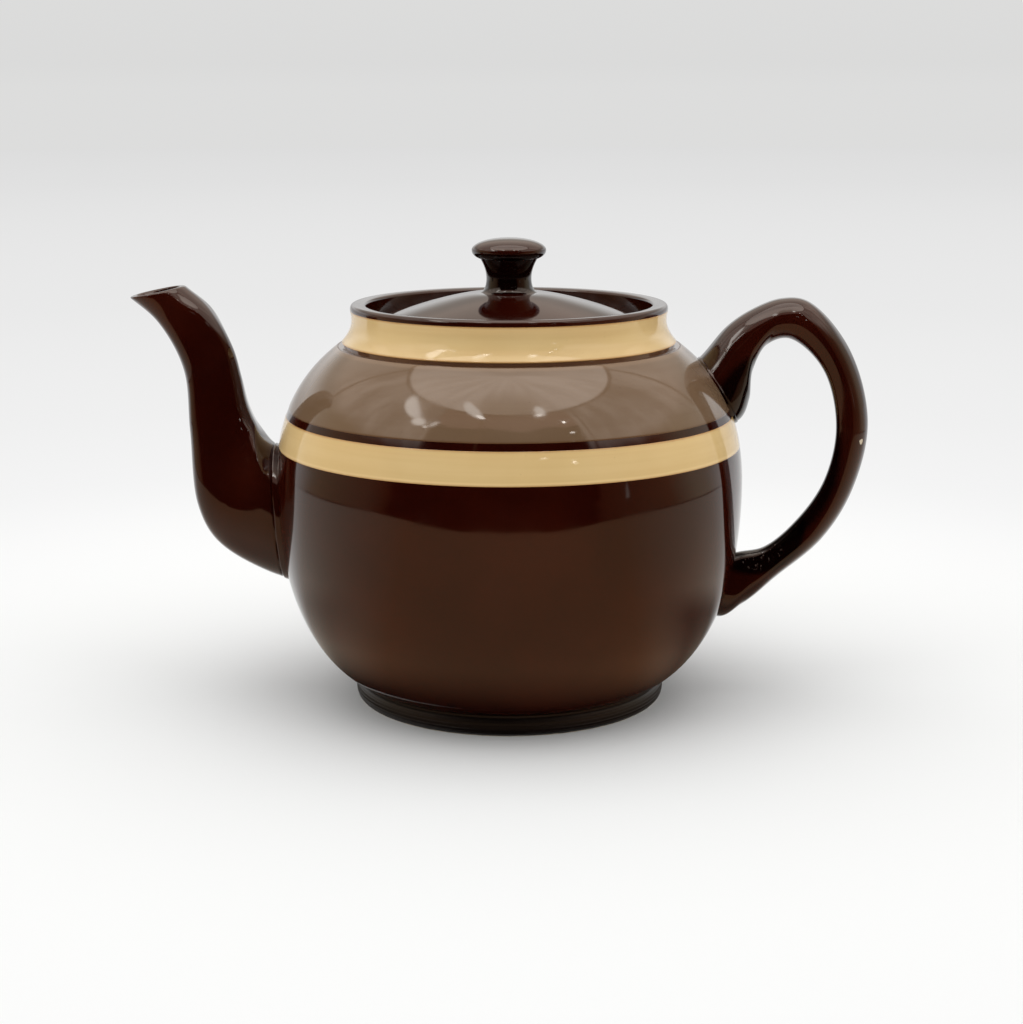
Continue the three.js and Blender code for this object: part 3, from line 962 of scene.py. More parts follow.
class TEAPOT_OT_body(bpy.types.Operator):
    """Turn the body: foot, belly, shoulder, neck, lip and the ledge for the lid"""

    bl_idname = "teapot.body"
    bl_label = "Turn the body"

    def execute(self, context):
        sizes = context.scene.teapot_body
        fittings = context.scene.teapot_fittings
        outside = body_outside(sizes)
        slip = sizes.slip_thickness / MM
        wall = sizes.wall / MM
        skin = []
        start = 0
        for name in ("belt", "shoulder", "neck"):
            low, high = band_edges(sizes, getattr(sizes, name + "_band"))
            if name == "neck":
                skin += self.crease(at(radius_at(outside, start) - slip, start),
                                    at(radius_at(outside, low) - slip, low))
            else:
                skin += self.thrown(stretch(outside, start, low))
            skin += offset(stretch(outside, low, high), -slip)
            start = high
        skin.append(at(radius_at(outside, start), start))
        gallery = sizes.gallery_radius / MM
        lip_side = outside[-1]
        crest = at(lip_side.x - LIP_ROUND[0], LIP_CREST)
        lip = bend(lip_side, at(lip_side.x, LIP_CREST), crest, 12)
        edge = at(gallery + LIP_EDGE[0], LIP_CREST - LIP_EDGE[1])
        lip += bend(crest, at((crest.x + edge.x) / 2, LIP_CREST), edge, 8)
        lip += bend(edge, at(gallery, edge.y - 0.35), at(gallery, LIP_CREST - LIP_HOLLOW), 10)

        ledge = LIP_CREST - sizes.gallery_depth / MM
        throat = gallery - 5.5
        under = ledge - 3.5
        inner = offset([p for p in outside if sizes.foot_height / MM <= p.y <= sizes.shoulder_height / MM],
                       -wall)
        floor_height = 9
        down = stretch(inner, floor_height * 2, under - 4.6)[::-1]
        foot_inner = at(outside[0].x - FOOT_RING_WIDTH, 0)
        recess = at(foot_inner.x - 0.8, 3)
        profile = joined(
            [at(0, 3), at(recess.x - 1.2, 3)],
            bend(at(recess.x - 1.2, 3), recess, at(foot_inner.x - 0.3, 0.5), 6),
            bend(at(foot_inner.x - 0.3, 0.5), at(foot_inner.x - 0.2, 0), foot_inner, 3),
            skin,
            lip,
            bend(at(gallery, ledge + 0.8), at(gallery, ledge), at(gallery - 0.8, ledge), 6),
            bend(at(throat + 1, ledge), at(throat, ledge), at(throat, ledge - 1), 6),
            bend(at(throat, under + 1.2), at(down[0].x, under), down[0], 14),
            down,
            bend(down[-1], at(down[-1].x - 6, floor_height), at(down[-1].x - 15, floor_height), 14),
            [at(0, floor_height)],
        )
        pitch = fittings.strainer_pitch / MM
        holes = []
        places = [(0, 0)] + [
            (pitch * math.cos(math.radians(a)), pitch * math.sin(math.radians(a)))
            for a in range(30, 390, 60)
        ]
        for across, up in places:
            centre = Vector((-BELLY_RADIUS + wall, across, STRAINER_HEIGHT + up))
            holes.append((centre, Vector((1, 0, 0)), fittings.strainer_hole / MM / 2, wall * 6))
        # Painted shade: below the belly's lower edge the glaze is darkened all round the foot, and made
        # duller.
        foot_painted_shade = ((AXIS_X, 0, 0), (900, 900, sizes.foot_height / MM + 0.7), 0.45, None)
        crease_middle = (sizes.shoulder_height + sizes.neck_band[0] / 2) / MM
        # Painted light: the glaze in the groove between the shoulder and the neck takes the lighter crease
        # tone.
        crease_painted_light = ((AXIS_X, 0, crease_middle), (900, 900, 1.3), 0.0, CREASE_LIT_TONE)
        material = brown_glaze("Body glaze", context.scene.teapot_colours, bare_foot=True,
                               painted_shade_and_light=[foot_painted_shade, crease_painted_light])
        finish_piece(turned(profile, sizes.turn_steps), "pot_shell", "pot", "pot_body",
                     material, holes)
        return {"FINISHED"}

    def crease(self, low, high):
        """The bare groove between the shoulder's slip and the neck's, with an upright wall."""
        floor = at(high.x - CREASE_DEPTH, low.y - CREASE_SINK)
        wall = [at(floor.x, floor.y + 0.3), at(floor.x, high.y - 0.1), high]
        return [low, *bend(at(low.x - 0.2, low.y - 0.03), floor, wall[0], 6), *wall[1:]]

    def thrown(self, run):
        """The fine lines that the fingers leave round the foot."""
        width, depth = FOOT_LINE
        dents = {line + step * width for line in FOOT_LINES for step in (-1, 0, 1)}
        heights = [z for z in sorted({p.y for p in run} | dents) if run[0].y <= z <= run[-1].y]
        points = []
        for z in heights:
            dent = sum(max(0, 1 - abs(z - line) / width) for line in FOOT_LINES) * depth
            points.append(at(radius_at(run, z) - dent, z))
        return points


class TEAPOT_OT_slip(bpy.types.Operator):
    """Lay the three coats of slip in their recesses"""

    bl_idname = "teapot.slip"
    bl_label = "Lay the slip"

    def execute(self, context):
        sizes = context.scene.teapot_body
        colours = context.scene.teapot_colours
        outside = body_outside(sizes)
        slip = sizes.slip_thickness / MM
        for name, coat, tone, slot, specks, streaks, lines, pits in (
            ("neck", sizes.neck_band, colours.cream, "cream_slip", 0.1, 0.16, (0.0, 0.0), ()),
            ("shoulder", sizes.shoulder_band, colours.taupe, "taupe_slip", 0.25, 0.2, (0.0, 0.9),
             (SHOULDER_PIT,)),
            ("belt", sizes.belt_band, colours.cream, "cream_slip", 0.12, 0.16, (0.8, 0.0), ()),
        ):
            edges = band_edges(sizes, coat)
            run = stretch(outside, *edges)
            face = self.eased(run)
            back = offset(run, -slip)[::-1]
            ring = turned(joined(face, back), sizes.turn_steps, closed=True)
            title = name.capitalize() + " slip"
            material = slip_under_glaze(title, colours, tone, edges, specks, streaks, lines, pits)
            finish_piece(ring, name + "_slip", "pot", "slip_band_" + name, material, sharp_angle=50)
        return {"FINISHED"}

    def eased(self, run):
        """The coat's face: a hair proud of the body, and rounded down to it at both edges."""
        proud, edge, steps = 0.09, 0.5, 6
        low, high = run[0].y, run[-1].y
        fine = [low + edge * i / steps for i in range(steps + 1)]
        heights = fine + [p.y for p in run if low + edge < p.y < high - edge]
        heights += [high - edge * i / steps for i in range(steps, -1, -1)]
        face = [at(radius_at(run, z), z) for z in heights]
        raised = offset(face, proud)
        eased = []
        for flat, up, z in zip(face, raised, heights):
            near = min((z - low) / edge, (high - z) / edge, 1)
            eased.append(flat.lerp(up, math.sqrt(max(0.0, 1 - (1 - near) ** 2))))
        return eased


class TEAPOT_OT_spout(bpy.types.Operator):
    """Sweep the hollow spout and lute it to the body"""

    bl_idname = "teapot.spout"
    bl_label = "Fit the spout"

    def execute(self, context):
        sizes = context.scene.teapot_body
        fittings = context.scene.teapot_fittings
        outside = body_outside(sizes)
        outer = edge_points(SPOUT_SECTIONS, 0, (0,), outside, sizes)
        inner = edge_points(SPOUT_SECTIONS, 1, (0,), outside, sizes)
        sides = 72
        root = fittings.spout_wall_root / MM
        mouth = fittings.spout_wall_mouth / MM

        def ring(t, thin):
            squarer = 0.7 * share_between(t, 0.28, 0.46) + 0.6 * share_between(t, 0.5, 0.68)
            front = 2.3 + squarer * share_between(t, 0.98, 0.75)
            waist = min(share_between(t, 0.12, 0.32), share_between(t, 0.95, 0.72))
            return ring_at(outer, inner, t, sides, thin, 0.54, 2.1 + 2.2 * waist, front, 11 * waist)

        count = 260
        shell = [ring(i / (count - 1), 0) for i in range(count)]
        bore = [ring(i / (count - 1), root + (mouth - root) * i / (count - 1)) for i in range(count)]
        shell = collared(recut(shell, outside, 1.6, 170), outside, 0.45, 1.4, 0.5)
        bore = recut(bore, outside, 1.6, 110)
        lip = self.rounded_lip(shell, bore, mouth)
        bm, first, last = swept(shell[:-3] + lip + bore[::-1][3:], -1)
        bmesh.ops.bridge_loops(bm, edges=boundary_of(bm, first) + boundary_of(bm, last))
        bmesh.ops.recalc_face_normals(bm, faces=bm.faces)
        material = brown_glaze("Spout glaze", context.scene.teapot_colours, 0.6, (0.13, 0.4, 0.2))
        finish_piece(bm, "spout_luted", "pot", "spout", material, sharp_angle=60)
        return {"FINISHED"}

    def rounded_lip(self, shell, bore, mouth):
        """Rings that round the pouring edge over from the outside to the bore."""
        rise = 0.75
        outer_end, outer_before = shell[-1], shell[-4]
        inner_end = bore[-1]
        steps = 8
        rings = []
        for i in range(steps + 1):
            angle = math.pi * i / steps
            share = (1 - math.cos(angle)) / 2
            ring = []
            for a, b, before in zip(outer_end, inner_end, outer_before):
                forward = (a - before).normalized()
                ring.append(a.lerp(b, share) + forward * (math.sin(angle) - 1) * rise)
            rings.append(ring)
        return rings


class TEAPOT_OT_handle(bpy.types.Operator):
    """Sweep the handle and lute both its roots to the body"""

    bl_idname = "teapot.handle"
    bl_label = "Fit the handle"

    def execute(self, context):
        sizes = context.scene.teapot_body
        outside = body_outside(sizes)
        buried = (0, len(HANDLE_SECTIONS) - 1)
        outer = edge_points(HANDLE_SECTIONS, 0, buried, outside, sizes)
        inner = edge_points(HANDLE_SECTIONS, 1, buried, outside, sizes)
        fullness = [Vector(section[3]) for section in HANDLE_SECTIONS]
        count = 420
        rings = []
        for i in range(count):
            t = i / (count - 1)
            rings.append(ring_at(outer, inner, t, 72, 0, *straight_along(fullness, t)))
        rings = recut(rings, outside, 1.6, 260, both_ends=True)
        rings = collared(rings, outside, 0.3, 0.9, 0.12, above=ROOT_MIDDLE)
        rings = sagged(rings, outside)
        bm, first, last = swept(rings, 1)
        capped(bm, first)
        capped(bm, last)
        bmesh.ops.recalc_face_normals(bm, faces=bm.faces)
        chips = (((116.8, -6.5, 85.0), 1.0),)
        material = brown_glaze("Handle glaze", context.scene.teapot_colours, 0.7, (0.5, 0.1, 0.3), chips,
                               painted_shade_and_light=HANDLE_PAINTED_SHADE, scuffs=HANDLE_SCUFFS)
        finish_piece(bm, "handle_luted", "pot", "handle", material, sharp_angle=60)
        return {"FINISHED"}


class TEAPOT_OT_lid(bpy.types.Operator):
    """Turn the lid with its flange and steam hole"""

    bl_idname = "teapot.lid"
    bl_label = "Turn the lid"

    def execute(self, context):
        sizes = context.scene.teapot_body
        fittings = context.scene.teapot_fittings
        low, high = box_mm("lid_cover")
        seat = LIP_CREST - sizes.gallery_depth / MM + GAP
        edge_top = seat + fittings.lid_edge / MM
        radius = fittings.lid_radius / MM
        flange = fittings.flange_radius / MM
        flange_inner = flange - 3.2
        under_top = high.z - 3.6
        under_edge = at(flange_inner, edge_top - 3.6)
        base = 9.9
        profile = joined(
            [at(0, under_top), at(base, under_top)],
            curve(at(base, under_top), at(flange_inner * 0.5, under_top - 0.6),
                  at(flange_inner * 0.8, under_edge.y + 2.2), under_edge, 24),
            bend(at(flange_inner, low.z + 1.2), at(flange_inner, low.z), at(flange_inner + 1.2, low.z), 6),
            bend(at(flange - 1.2, low.z), at(flange, low.z), at(flange, low.z + 1.2), 6),
            bend(at(flange, seat - 0.8), at(flange, seat), at(flange + 0.8, seat), 5),
            bend(at(radius - 0.9, seat), at(radius, seat), at(radius, seat + 0.9), 6),
            bend(at(radius, edge_top - 0.9), at(radius, edge_top), at(radius - 0.8, edge_top), 7),
            curve(at(radius - 0.8, edge_top), at(radius - 4.5, edge_top + 2.9),
                  at(base + 6.6, high.z - 0.1), at(base, high.z), 40),
            [at(0, high.z)],
        )
        hole = (Vector((0, 17, edge_top)), Vector((0, 0, 1)), fittings.steam_hole / MM / 2, 30)
        material = brown_glaze("Lid glaze", context.scene.teapot_colours, 0.5, (0.7, 0.2, 0.6))
        finish_piece(turned(profile, sizes.turn_steps), "lid_dome", "lid", "lid_cover",
                     material, [hole])
        return {"FINISHED"}


class TEAPOT_OT_knob(bpy.types.Operator):
    """Turn the knob and seat it on the lid"""

    bl_idname = "teapot.knob"
    bl_label = "Turn the knob"

    def execute(self, context):
        fittings = context.scene.teapot_fittings
        seat = box_mm("lid_cover")[1].z
        base = KNOB_LOW.z
        top = KNOB_HIGH.z
        radius = fittings.knob_radius / MM
        waist = at(7.25, base + 4.0)
        rim = at(radius, base + 13.15)
        disc_edge = at(9.2, base + 10.4)
        foot = at(9.3, seat - 0.02)
        under_disc = bend(disc_edge, at(radius, disc_edge.y + 0.9), rim, 12)
        profile = joined(
            [at(0, seat - 0.3), at(foot.x, seat - 0.3), foot],
            bend(foot, at(waist.x + 0.1, base + 0.3), waist, 14),
            bend(waist, at(waist.x, (waist.y + disc_edge.y) / 2), disc_edge, 18),
            under_disc,
            curve(rim, at(radius, rim.y + 1.95), at(7.5, top), at(0, top), 30),
        )
        # Painted shade: the knob's waist under the disc is darkened.
        knob_waist_painted_shade = ((AXIS_X, 0, base + 6.4), (30, 30, 6.8), 0.0, None)
        material = brown_glaze("Knob glaze", context.scene.teapot_colours, 0.4, (0.3, 0.8, 0.1),
                               painted_shade_and_light=[knob_waist_painted_shade])
        finish_piece(turned(profile, 128), "knob_turned", "lid", "lid_knob", material)
        return {"FINISHED"}


# Stage: floor, softbox, painted lamp reflections, world and camera

CAMERA_HEIGHT = 0.19729
CAMERA_BACK = 0.62319
CAMERA_SIDE = 0.000712
CAMERA_PITCH = 12.377
CAMERA_ROLL = -0.088
FOCAL_PIXELS = 1935
IMAGE_WIDTH = 1023
SENSOR = 36


# What the glaze mirrors in front of the pot, as painted reflections on cards that glow only in reflections
# and give no light: a pale tent with a dark opening towards the camera.
# Azimuths are in degrees from the camera's side, positive towards the handle. Colours are radiance.

TENT_RADIUS = 2600
TENT_REACH = 128
TENT_MIDDLE = 75
OPENING = (-47, 43)
OPENING_TOP = 45
LINTEL_TOP = 57.5
TENT_WALL = (1.6, 1.34, 1.15)
TENT_SHADE = (0.92, 0.74, 0.62)
TENT_BACK = (0.98, 0.84, 0.72)
TENT_CEILING = (3.3, 2.85, 2.5)
CEILING_BACK = (2.1, 1.85, 1.65)
CEILING_FRONT = (1.85, 1.5, 1.2)
LINTEL = (0.80, 0.50, 0.40)
SEAM = (0.25, 0.14, 0.08)
LOW_ROOM = (
    (-128, (0.60, 0.56, 0.50)),
    (-100, (0.45, 0.33, 0.20)),
    (-70, (0.33, 0.19, 0.11)),
    (-59, (0.14, 0.06, 0.03)),
    (-55, (0.003, 0.002, 0.003)),
    (38, (0.003, 0.002, 0.003)),
    (44, (0.17, 0.06, 0.03)),
    (80, (0.32, 0.17, 0.09)),
    (97, (0.60, 0.48, 0.33)),
    (128, (0.60, 0.56, 0.50)),
)
# The paper as the glaze mirrors it, by azimuth: painted reflections, warmer and dimmer than the floor
# itself.
TABLE = (
    (-128, (0.72, 0.70, 0.66)),
    (-85, (0.62, 0.52, 0.41)),
    (-45, (0.54, 0.31, 0.17)),
    (50, (0.54, 0.30, 0.155)),
    (90, (0.62, 0.50, 0.38)),
    (128, (0.72, 0.70, 0.66)),
)
TABLE_EDGE = (0.385, 0.56)

# Painted lamp reflections in the tent, glowing ovals that only the glaze mirrors and that give no light:
# middle as azimuth and elevation, half length and half width, all in degrees, then the turn against level
# and the brightness

PAINTED_LAMP_REFLECTIONS = (
    ((-71, 50.5), (15, 3.8), -22, 5.6),
    ((-57.5, 43.5), (5, 2.8), 0, 6.5),
    ((-51, 41.5), (1.0, 0.8), 0, 16),
    ((-47, 44.6), (3.2, 1.3), 55, 7),
    ((-30, 60), (13, 3.6), -25, 5.4),
    ((-20.5, 55.2), (4, 1.2), -15, 11),
    ((24.5, 59.5), (4.5, 4.5), 0, 6),
    ((22.5, 56.4), (4, 0.9), 0, 13),
    ((35.7, 48.6), (1.1, 0.8), 0, 22),
    ((37.3, 40.2), (1.8, 0.5), 0, 14),
    ((17.5, 24.5), (2.3, 0.35), 0, 7),
    ((32.5, 20.5), (0.8, 1.1), 0, 12),
    ((57, -3.5), (0.9, 9), 0, 0.9),
)


class TEAPOT_OT_stage(bpy.types.Operator):
    """Set the pale floor, the studio light, the reflection cards and the camera"""

    bl_idname = "teapot.stage"
    bl_label = "Set the stage"

    def execute(self, context):
        lights = context.scene.teapot_lights
        self.floor(context.scene.teapot_colours.floor)
        self.area("softbox", (0, -0.02, 1.3), (math.radians(5), 0, 0), (1.0, 1.0), lights.softbox)
        self.world(lights.sky)
        self.tent(lights.painted_lamps)
        self.table()
        self.camera()
        context.scene.view_settings.view_transform = "Standard"
        return {"FINISHED"}

    def add_stage(self, bm, name, material, mirrored_only=False):
        mesh = bpy.data.meshes.new(name)
        bm.to_mesh(mesh)
        bm.free()
        soften(mesh, 60)
        thing = bpy.data.objects.new(name, mesh)
        bpy.context.scene.collection.objects.link(thing)
        mesh.materials.append(material)
        if mirrored_only:
            for kind in ("camera", "diffuse", "transmission", "shadow", "volume_scatter"):
                setattr(thing, "visible_" + kind, False)

    def floor(self, colour_in):
        """A wide flat floor. Far out it fades into the tone of the sky, so no horizon shows."""
        bm = turned([at(r, 0) for r in (0, 60, 120, 250, 500, 1000, 2500, 6000)], 96)
        bmesh.ops.reverse_faces(bm, faces=[f for f in bm.faces if f.normal.z < 0])
        material, nodes = new_material("Pale floor")
        where = nodes.add("TexCoord").outputs["Object"]
        reach = nodes.add("VectorMath", {0: where}, operation="LENGTH").outputs["Value"]
        tones = ((0.0, 0.93), (0.05, 0.925), (0.10, 0.87), (0.20, 0.82), (0.6, 0.75), (1.0, 0.722))
        tone = nodes.stops(nodes.ramp(reach, 0, 6, smooth=False), [(p, (v, v, v)) for p, v in tones])
        diffuse = nodes.add("BsdfDiffuse", {"Color": rgba(colour_in), "Roughness": 0.3})
        glow = nodes.add("Emission", {"Color": tone})
        mixed = nodes.add("MixShader", {
            "Fac": nodes.math("MULTIPLY", nodes.ramp(reach, 0.16, 0.42), self.looked_at(nodes)),
            1: diffuse.outputs["BSDF"],
            2: glow.outputs["Emission"],
        })
        out = nodes.add("OutputMaterial")
        nodes.tree.links.new(mixed.outputs["Shader"], out.inputs["Surface"])
        self.add_stage(bm, "floor", material)

    def looked_at(self, nodes):
        """1 for what the camera sees, straight or mirrored, and 0 for what only gives light."""
        path = nodes.add("LightPath")
        seen = nodes.math("MAXIMUM", path.outputs["Is Camera Ray"], path.outputs["Is Glossy Ray"])
        return nodes.math("MAXIMUM", seen, path.outputs["Is Transmission Ray"])

    def world(self, sky):
        """Even pale light, dimmer along the horizon and towards the camera's side."""
        world = bpy.data.worlds.new("Studio")
        world.use_nodes = True
        world.node_tree.nodes.clear()
        nodes = Nodes(world.node_tree)
        part = nodes.add("SeparateXYZ", {"Vector": nodes.add("TexCoord").outputs["Generated"]})
        x, y, up = (part.outputs[key] for key in "XYZ")
        pale = nodes.stops(up, (
            (0.0, (0.722, 0.722, 0.718)),
            (0.012, (0.706, 0.706, 0.702)),
            (0.06, (0.72, 0.72, 0.715)),
            (0.16, (1.04, 1.04, 1.03)),
            (0.30, (1.22, 1.22, 1.20)),
            (0.60, (1.06, 1.05, 1.04)),
            (1.0, (0.92, 0.92, 0.91)),
        ))
        azimuth = nodes.math("DEGREES", nodes.math("ARCTAN2", x, nodes.math("MULTIPLY", y, -1.0)))
        front = self.between(nodes, azimuth, -46, 46, 12)
        front = nodes.math("MULTIPLY", front, nodes.ramp(up, 0.75, 0.55))
        dim = nodes.mix(nodes.math("MULTIPLY", front, 0.80), pale, (0.0, 0.0, 0.0, 1))
        seen = self.looked_at(nodes)
        ground = nodes.add("Background", {
            "Color": nodes.mix(seen, dim, pale),
            "Strength": nodes.math("MULTIPLY_ADD", seen, 1 - sky, sky),
        })
        out = nodes.add("OutputWorld")
        nodes.tree.links.new(ground.outputs["Background"], out.inputs["Surface"])
        bpy.context.scene.world = world

    def card_nodes(self, name):
        """A material with the azimuth and elevation of each place, seen from the pot's middle."""
        material, nodes = new_material(name)
        where = nodes.shifted(nodes.add("TexCoord").outputs["Object"], (0, 0, -TENT_MIDDLE * MM))
        part = nodes.add("SeparateXYZ", {"Vector": where})
        x, y, z = (part.outputs[key] for key in "XYZ")
        azimuth = nodes.math("DEGREES", nodes.math("ARCTAN2", x, nodes.math("MULTIPLY", y, -1.0)))
        flat = nodes.math("MULTIPLY_ADD", x, x, nodes.math("MULTIPLY", y, y))
        flat = nodes.math("SQRT", flat)
        elevation = nodes.math("DEGREES", nodes.math("ARCTAN2", z, flat))
        return material, nodes, where, azimuth, elevation, flat

    def round_stops(self, nodes, azimuth, places):
        """A colour ramp along the azimuth."""
        share = nodes.math("MULTIPLY_ADD", azimuth, 1 / 360, 0.5)
        return nodes.stops(share, [(0.5 + degrees / 360, tone) for degrees, tone in places])

    def between(self, nodes, value, low, high, soft):
        """1 between two values and 0 outside them, with soft edges."""
        above = nodes.ramp(value, low - soft, low + soft)
        under = nodes.ramp(value, high + soft, high - soft)
        return nodes.math("MULTIPLY", above, under)

    def shine(self, material, nodes, tone, strength=1.0, cover=None):
        """Emission, and clear where cover is 0."""
        surface = nodes.add("Emission", {"Color": tone, "Strength": strength}).outputs["Emission"]
        if cover is not None:
            clear = nodes.add("BsdfTransparent")
            surface = nodes.add("MixShader", {
                "Fac": cover,
                1: clear.outputs["BSDF"],
                2: surface,
            }).outputs["Shader"]
        out = nodes.add("OutputMaterial")
        nodes.tree.links.new(surface, out.inputs["Surface"])
        return material

    def lamp(self, nodes, azimuth, elevation, cloth, middle, halves, turn):
        """1 inside a soft, uneven oval in the tent, where a painted lamp reflection glows."""
        across = nodes.math("SUBTRACT", azimuth, middle[0])
        rise = nodes.math("SUBTRACT", elevation, middle[1])
        c, s = math.cos(math.radians(turn)), math.sin(math.radians(turn))
        along = nodes.math("MULTIPLY_ADD", rise, s, nodes.math("MULTIPLY", across, c))
        aside = nodes.math("MULTIPLY_ADD", rise, c, nodes.math("MULTIPLY", across, -s))
        along = nodes.math("DIVIDE", along, halves[0])
        aside = nodes.math("DIVIDE", aside, halves[1])
        out = nodes.math("MULTIPLY_ADD", along, along, nodes.math("MULTIPLY", aside, aside))
        out = nodes.math("MULTIPLY_ADD", nodes.math("SUBTRACT", cloth, 0.5), 1.1, out)
        return nodes.ramp(out, 1.25, 0.4)

    def tent(self, painted_lamps):
        """The tent's walls and ceiling, with the dark opening that the camera looks through: painted
        reflections on a card that glows only in the glaze and gives no light.
        """
        outline = arc(at(0, TENT_MIDDLE), TENT_RADIUS, TENT_RADIUS, -2, 90, 42)
        material, nodes, where, azimuth, elevation, _ = self.card_nodes("Tent")
        aside = nodes.math("ABSOLUTE", azimuth)
        mottle = nodes.noise(where, 1.6, 3, 0.6)
        ragged = nodes.math("MULTIPLY_ADD", nodes.math("SUBTRACT", mottle, 0.5), 9.0, elevation)
        hang = nodes.add("CombineXYZ", {
            "X": nodes.math("MULTIPLY", azimuth, 0.075),
            "Y": nodes.math("MULTIPLY", elevation, 0.03),
        }).outputs["Vector"]
        cloth = nodes.noise(hang, 1.0, 4, 0.62)
        wall = nodes.mix(nodes.ramp(cloth, 0.36, 0.66), rgba(TENT_SHADE), rgba(TENT_WALL))
        wall = nodes.mix(nodes.ramp(aside, 118, 140), wall, rgba(TENT_BACK))
        low = self.round_stops(nodes, azimuth, LOW_ROOM)
        tone = nodes.mix(nodes.ramp(ragged, 21, 33), low, wall)
        inside = self.between(nodes, azimuth, *OPENING, 1.5)
        lintel = nodes.ramp(ragged, OPENING_TOP - 1, OPENING_TOP + 1)
        dark = nodes.mix(lintel, (0.004, 0.003, 0.003, 1), rgba(LINTEL))
        tone = nodes.mix(inside, tone, dark)
        ceiling = nodes.mix(nodes.ramp(aside, 80, 130), rgba(TENT_CEILING), rgba(CEILING_BACK))
        middle = nodes.math("MULTIPLY", nodes.ramp(aside, 44, 14), nodes.ramp(elevation, 84, 62))
        ceiling = nodes.mix(middle, ceiling, rgba(CEILING_FRONT))
        ceiling = nodes.mix(nodes.ramp(cloth, 0.58, 0.4, 0, 0.35), ceiling, rgba(TENT_WALL))
        tone = nodes.mix(nodes.ramp(elevation, LINTEL_TOP - 0.6, LINTEL_TOP + 0.9), tone, ceiling)
        seam = self.between(nodes, elevation, LINTEL_TOP - 0.8, LINTEL_TOP + 0.6, 0.4)
        for corner in (-122, OPENING[0], -18, OPENING[1] + 4, 122):
            fold = self.between(nodes, azimuth, corner - 0.8, corner + 0.8, 0.6)
            fold = nodes.math("MULTIPLY", fold, self.between(nodes, elevation, 20, LINTEL_TOP, 1))
            seam = nodes.math("MAXIMUM", seam, fold)
        tone = nodes.mix(nodes.math("MULTIPLY", seam, 0.75), tone, rgba(SEAM))
        # Painted lamp reflections: bright ovals mixed into the tent's glow.
        for middle, halves, turn, strength in PAINTED_LAMP_REFLECTIONS:
            bright = strength * painted_lamps
            glow = self.lamp(nodes, azimuth, elevation, cloth, middle, halves, turn)
            tone = nodes.mix(glow, tone, (bright, bright * 0.94, bright * 0.87, 1))
        cover = nodes.math("MAXIMUM", nodes.ramp(aside, 127, 119), nodes.ramp(elevation, 10, 24))
        self.add_stage(turned(outline, 96), "tent", self.shine(material, nodes, tone, 1.0, cover), True)

    def table(self):
        """The paper in front of the pot as the glaze shows it, and the dark room past its edge: painted
        reflections on a card that gives no light, with painted shadows of the pot, the handle, the spout
        and the paper's edge.
        """
        outline = [at(r, 1) for r in (TENT_RADIUS, 1200, 600, 400, 250, 150, 100, 75, 50)]
        material, nodes, where, azimuth, _, flat = self.card_nodes("Table")
        near = self.round_stops(nodes, azimuth, TABLE)
        # Painted shadow: the mirrored paper turns dark close to the pot, as the pot's contact shadow.
        near = nodes.mix(nodes.ramp(flat, 0.082, 0.051), near, (0.015, 0.01, 0.008, 1))
        far = self.round_stops(nodes, azimuth, LOW_ROOM)
        side = nodes.math("ABSOLUTE", azimuth)
        # Painted shadow: the mirrored paper is darkened beside the pot towards the handle and the spout, as
        # their shadows.
        shade = nodes.math("MULTIPLY", self.between(nodes, side, 72, 135, 14), nodes.ramp(flat, 0.16, 0.11))
        shade = nodes.math("MULTIPLY", shade, nodes.ramp(azimuth, -60, 60, 0.35, 0.8))
        near = nodes.mix(shade, near, (0.05, 0.035, 0.025, 1))
        edge = nodes.ramp(side, 15, 68, *TABLE_EDGE)
        wander = nodes.math("SUBTRACT", nodes.noise(where, 5, 2), 0.5)
        past = nodes.math("SUBTRACT", nodes.math("MULTIPLY_ADD", wander, 0.05, flat), edge)
        tone = nodes.mix(nodes.ramp(past, -0.008, 0.008), near, far)
        # Painted shadow: a dark line just past the paper's edge, as the edge's shadow.
        line = self.between(nodes, past, 0.004, 0.03, 0.006)
        tone = nodes.mix(nodes.math("MULTIPLY", line, 0.8), tone, (0.02, 0.012, 0.008, 1))
        cover = nodes.math("MAXIMUM", nodes.ramp(side, 128, 104), nodes.ramp(flat, 0.085, 0.062))
        self.add_stage(turned(outline, 96), "table", self.shine(material, nodes, tone, 1.0, cover), True)

    def area(self, name, place, turn, size, power):
        light = bpy.data.lights.new(name, "AREA")
        light.shape = "RECTANGLE"
        light.size, light.size_y = size
        light.energy = power
        lamp = bpy.data.objects.new(name, light)
        lamp.location = place
        lamp.rotation_euler = turn
        bpy.context.scene.collection.objects.link(lamp)
        lamp.visible_camera = False
        lamp.visible_glossy = False

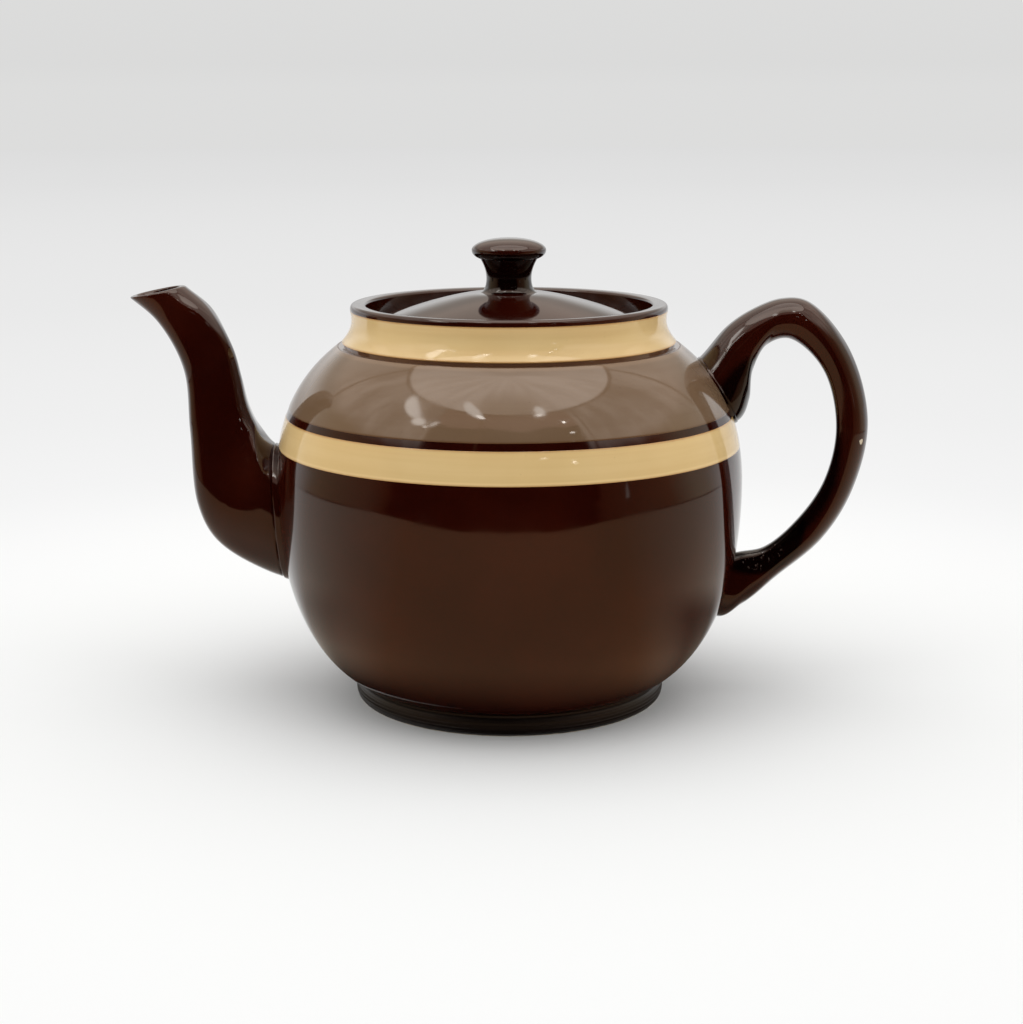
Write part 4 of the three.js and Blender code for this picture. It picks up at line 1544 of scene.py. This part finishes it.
    def camera(self):
        data = bpy.data.cameras.new("camera")
        data.sensor_width = SENSOR
        data.sensor_fit = "HORIZONTAL"
        data.lens = SENSOR * FOCAL_PIXELS / IMAGE_WIDTH
        camera = bpy.data.objects.new("camera", data)
        place = Matrix.Translation((AXIS_X * MM + CAMERA_SIDE, -CAMERA_BACK, CAMERA_HEIGHT))
        look = Matrix.Rotation(math.radians(90 - CAMERA_PITCH), 4, "X")
        roll = Matrix.Rotation(math.radians(CAMERA_ROLL), 4, "Z")
        camera.matrix_world = place @ look @ roll
        bpy.context.scene.collection.objects.link(camera)
        bpy.context.scene.camera = camera


class TEAPOT_PT_panel(bpy.types.Panel):
    """The steps of making the teapot"""

    bl_idname = "TEAPOT_PT_panel"
    bl_label = "Teapot"
    bl_space_type = "VIEW_3D"
    bl_region_type = "UI"
    bl_category = "Teapot"

    def draw(self, context):
        for operator in OPERATORS:
            self.layout.operator(operator.bl_idname)


OPERATORS = (
    TEAPOT_OT_stage,
    TEAPOT_OT_body,
    TEAPOT_OT_slip,
    TEAPOT_OT_spout,
    TEAPOT_OT_handle,
    TEAPOT_OT_lid,
    TEAPOT_OT_knob,
)
PROPERTY_GROUPS = {
    "teapot_body": TeapotBodySizes,
    "teapot_fittings": TeapotFittings,
    "teapot_colours": TeapotColours,
    "teapot_lights": TeapotLights,
}


def register():
    for name, kind in PROPERTY_GROUPS.items():
        bpy.utils.register_class(kind)
        setattr(bpy.types.Scene, name, PointerProperty(type=kind))
    for kind in (*OPERATORS, TEAPOT_PT_panel):
        bpy.utils.register_class(kind)


def unregister():
    for kind in reversed((*OPERATORS, TEAPOT_PT_panel)):
        bpy.utils.unregister_class(kind)
    for name, kind in PROPERTY_GROUPS.items():
        delattr(bpy.types.Scene, name)
        bpy.utils.unregister_class(kind)


def main():
    register()
    bpy.ops.teapot.stage()
    bpy.ops.teapot.body()
    bpy.ops.teapot.slip()
    bpy.ops.teapot.spout()
    bpy.ops.teapot.handle()
    bpy.ops.teapot.lid()
    bpy.ops.teapot.knob()


if __name__ == "__main__":
    main()
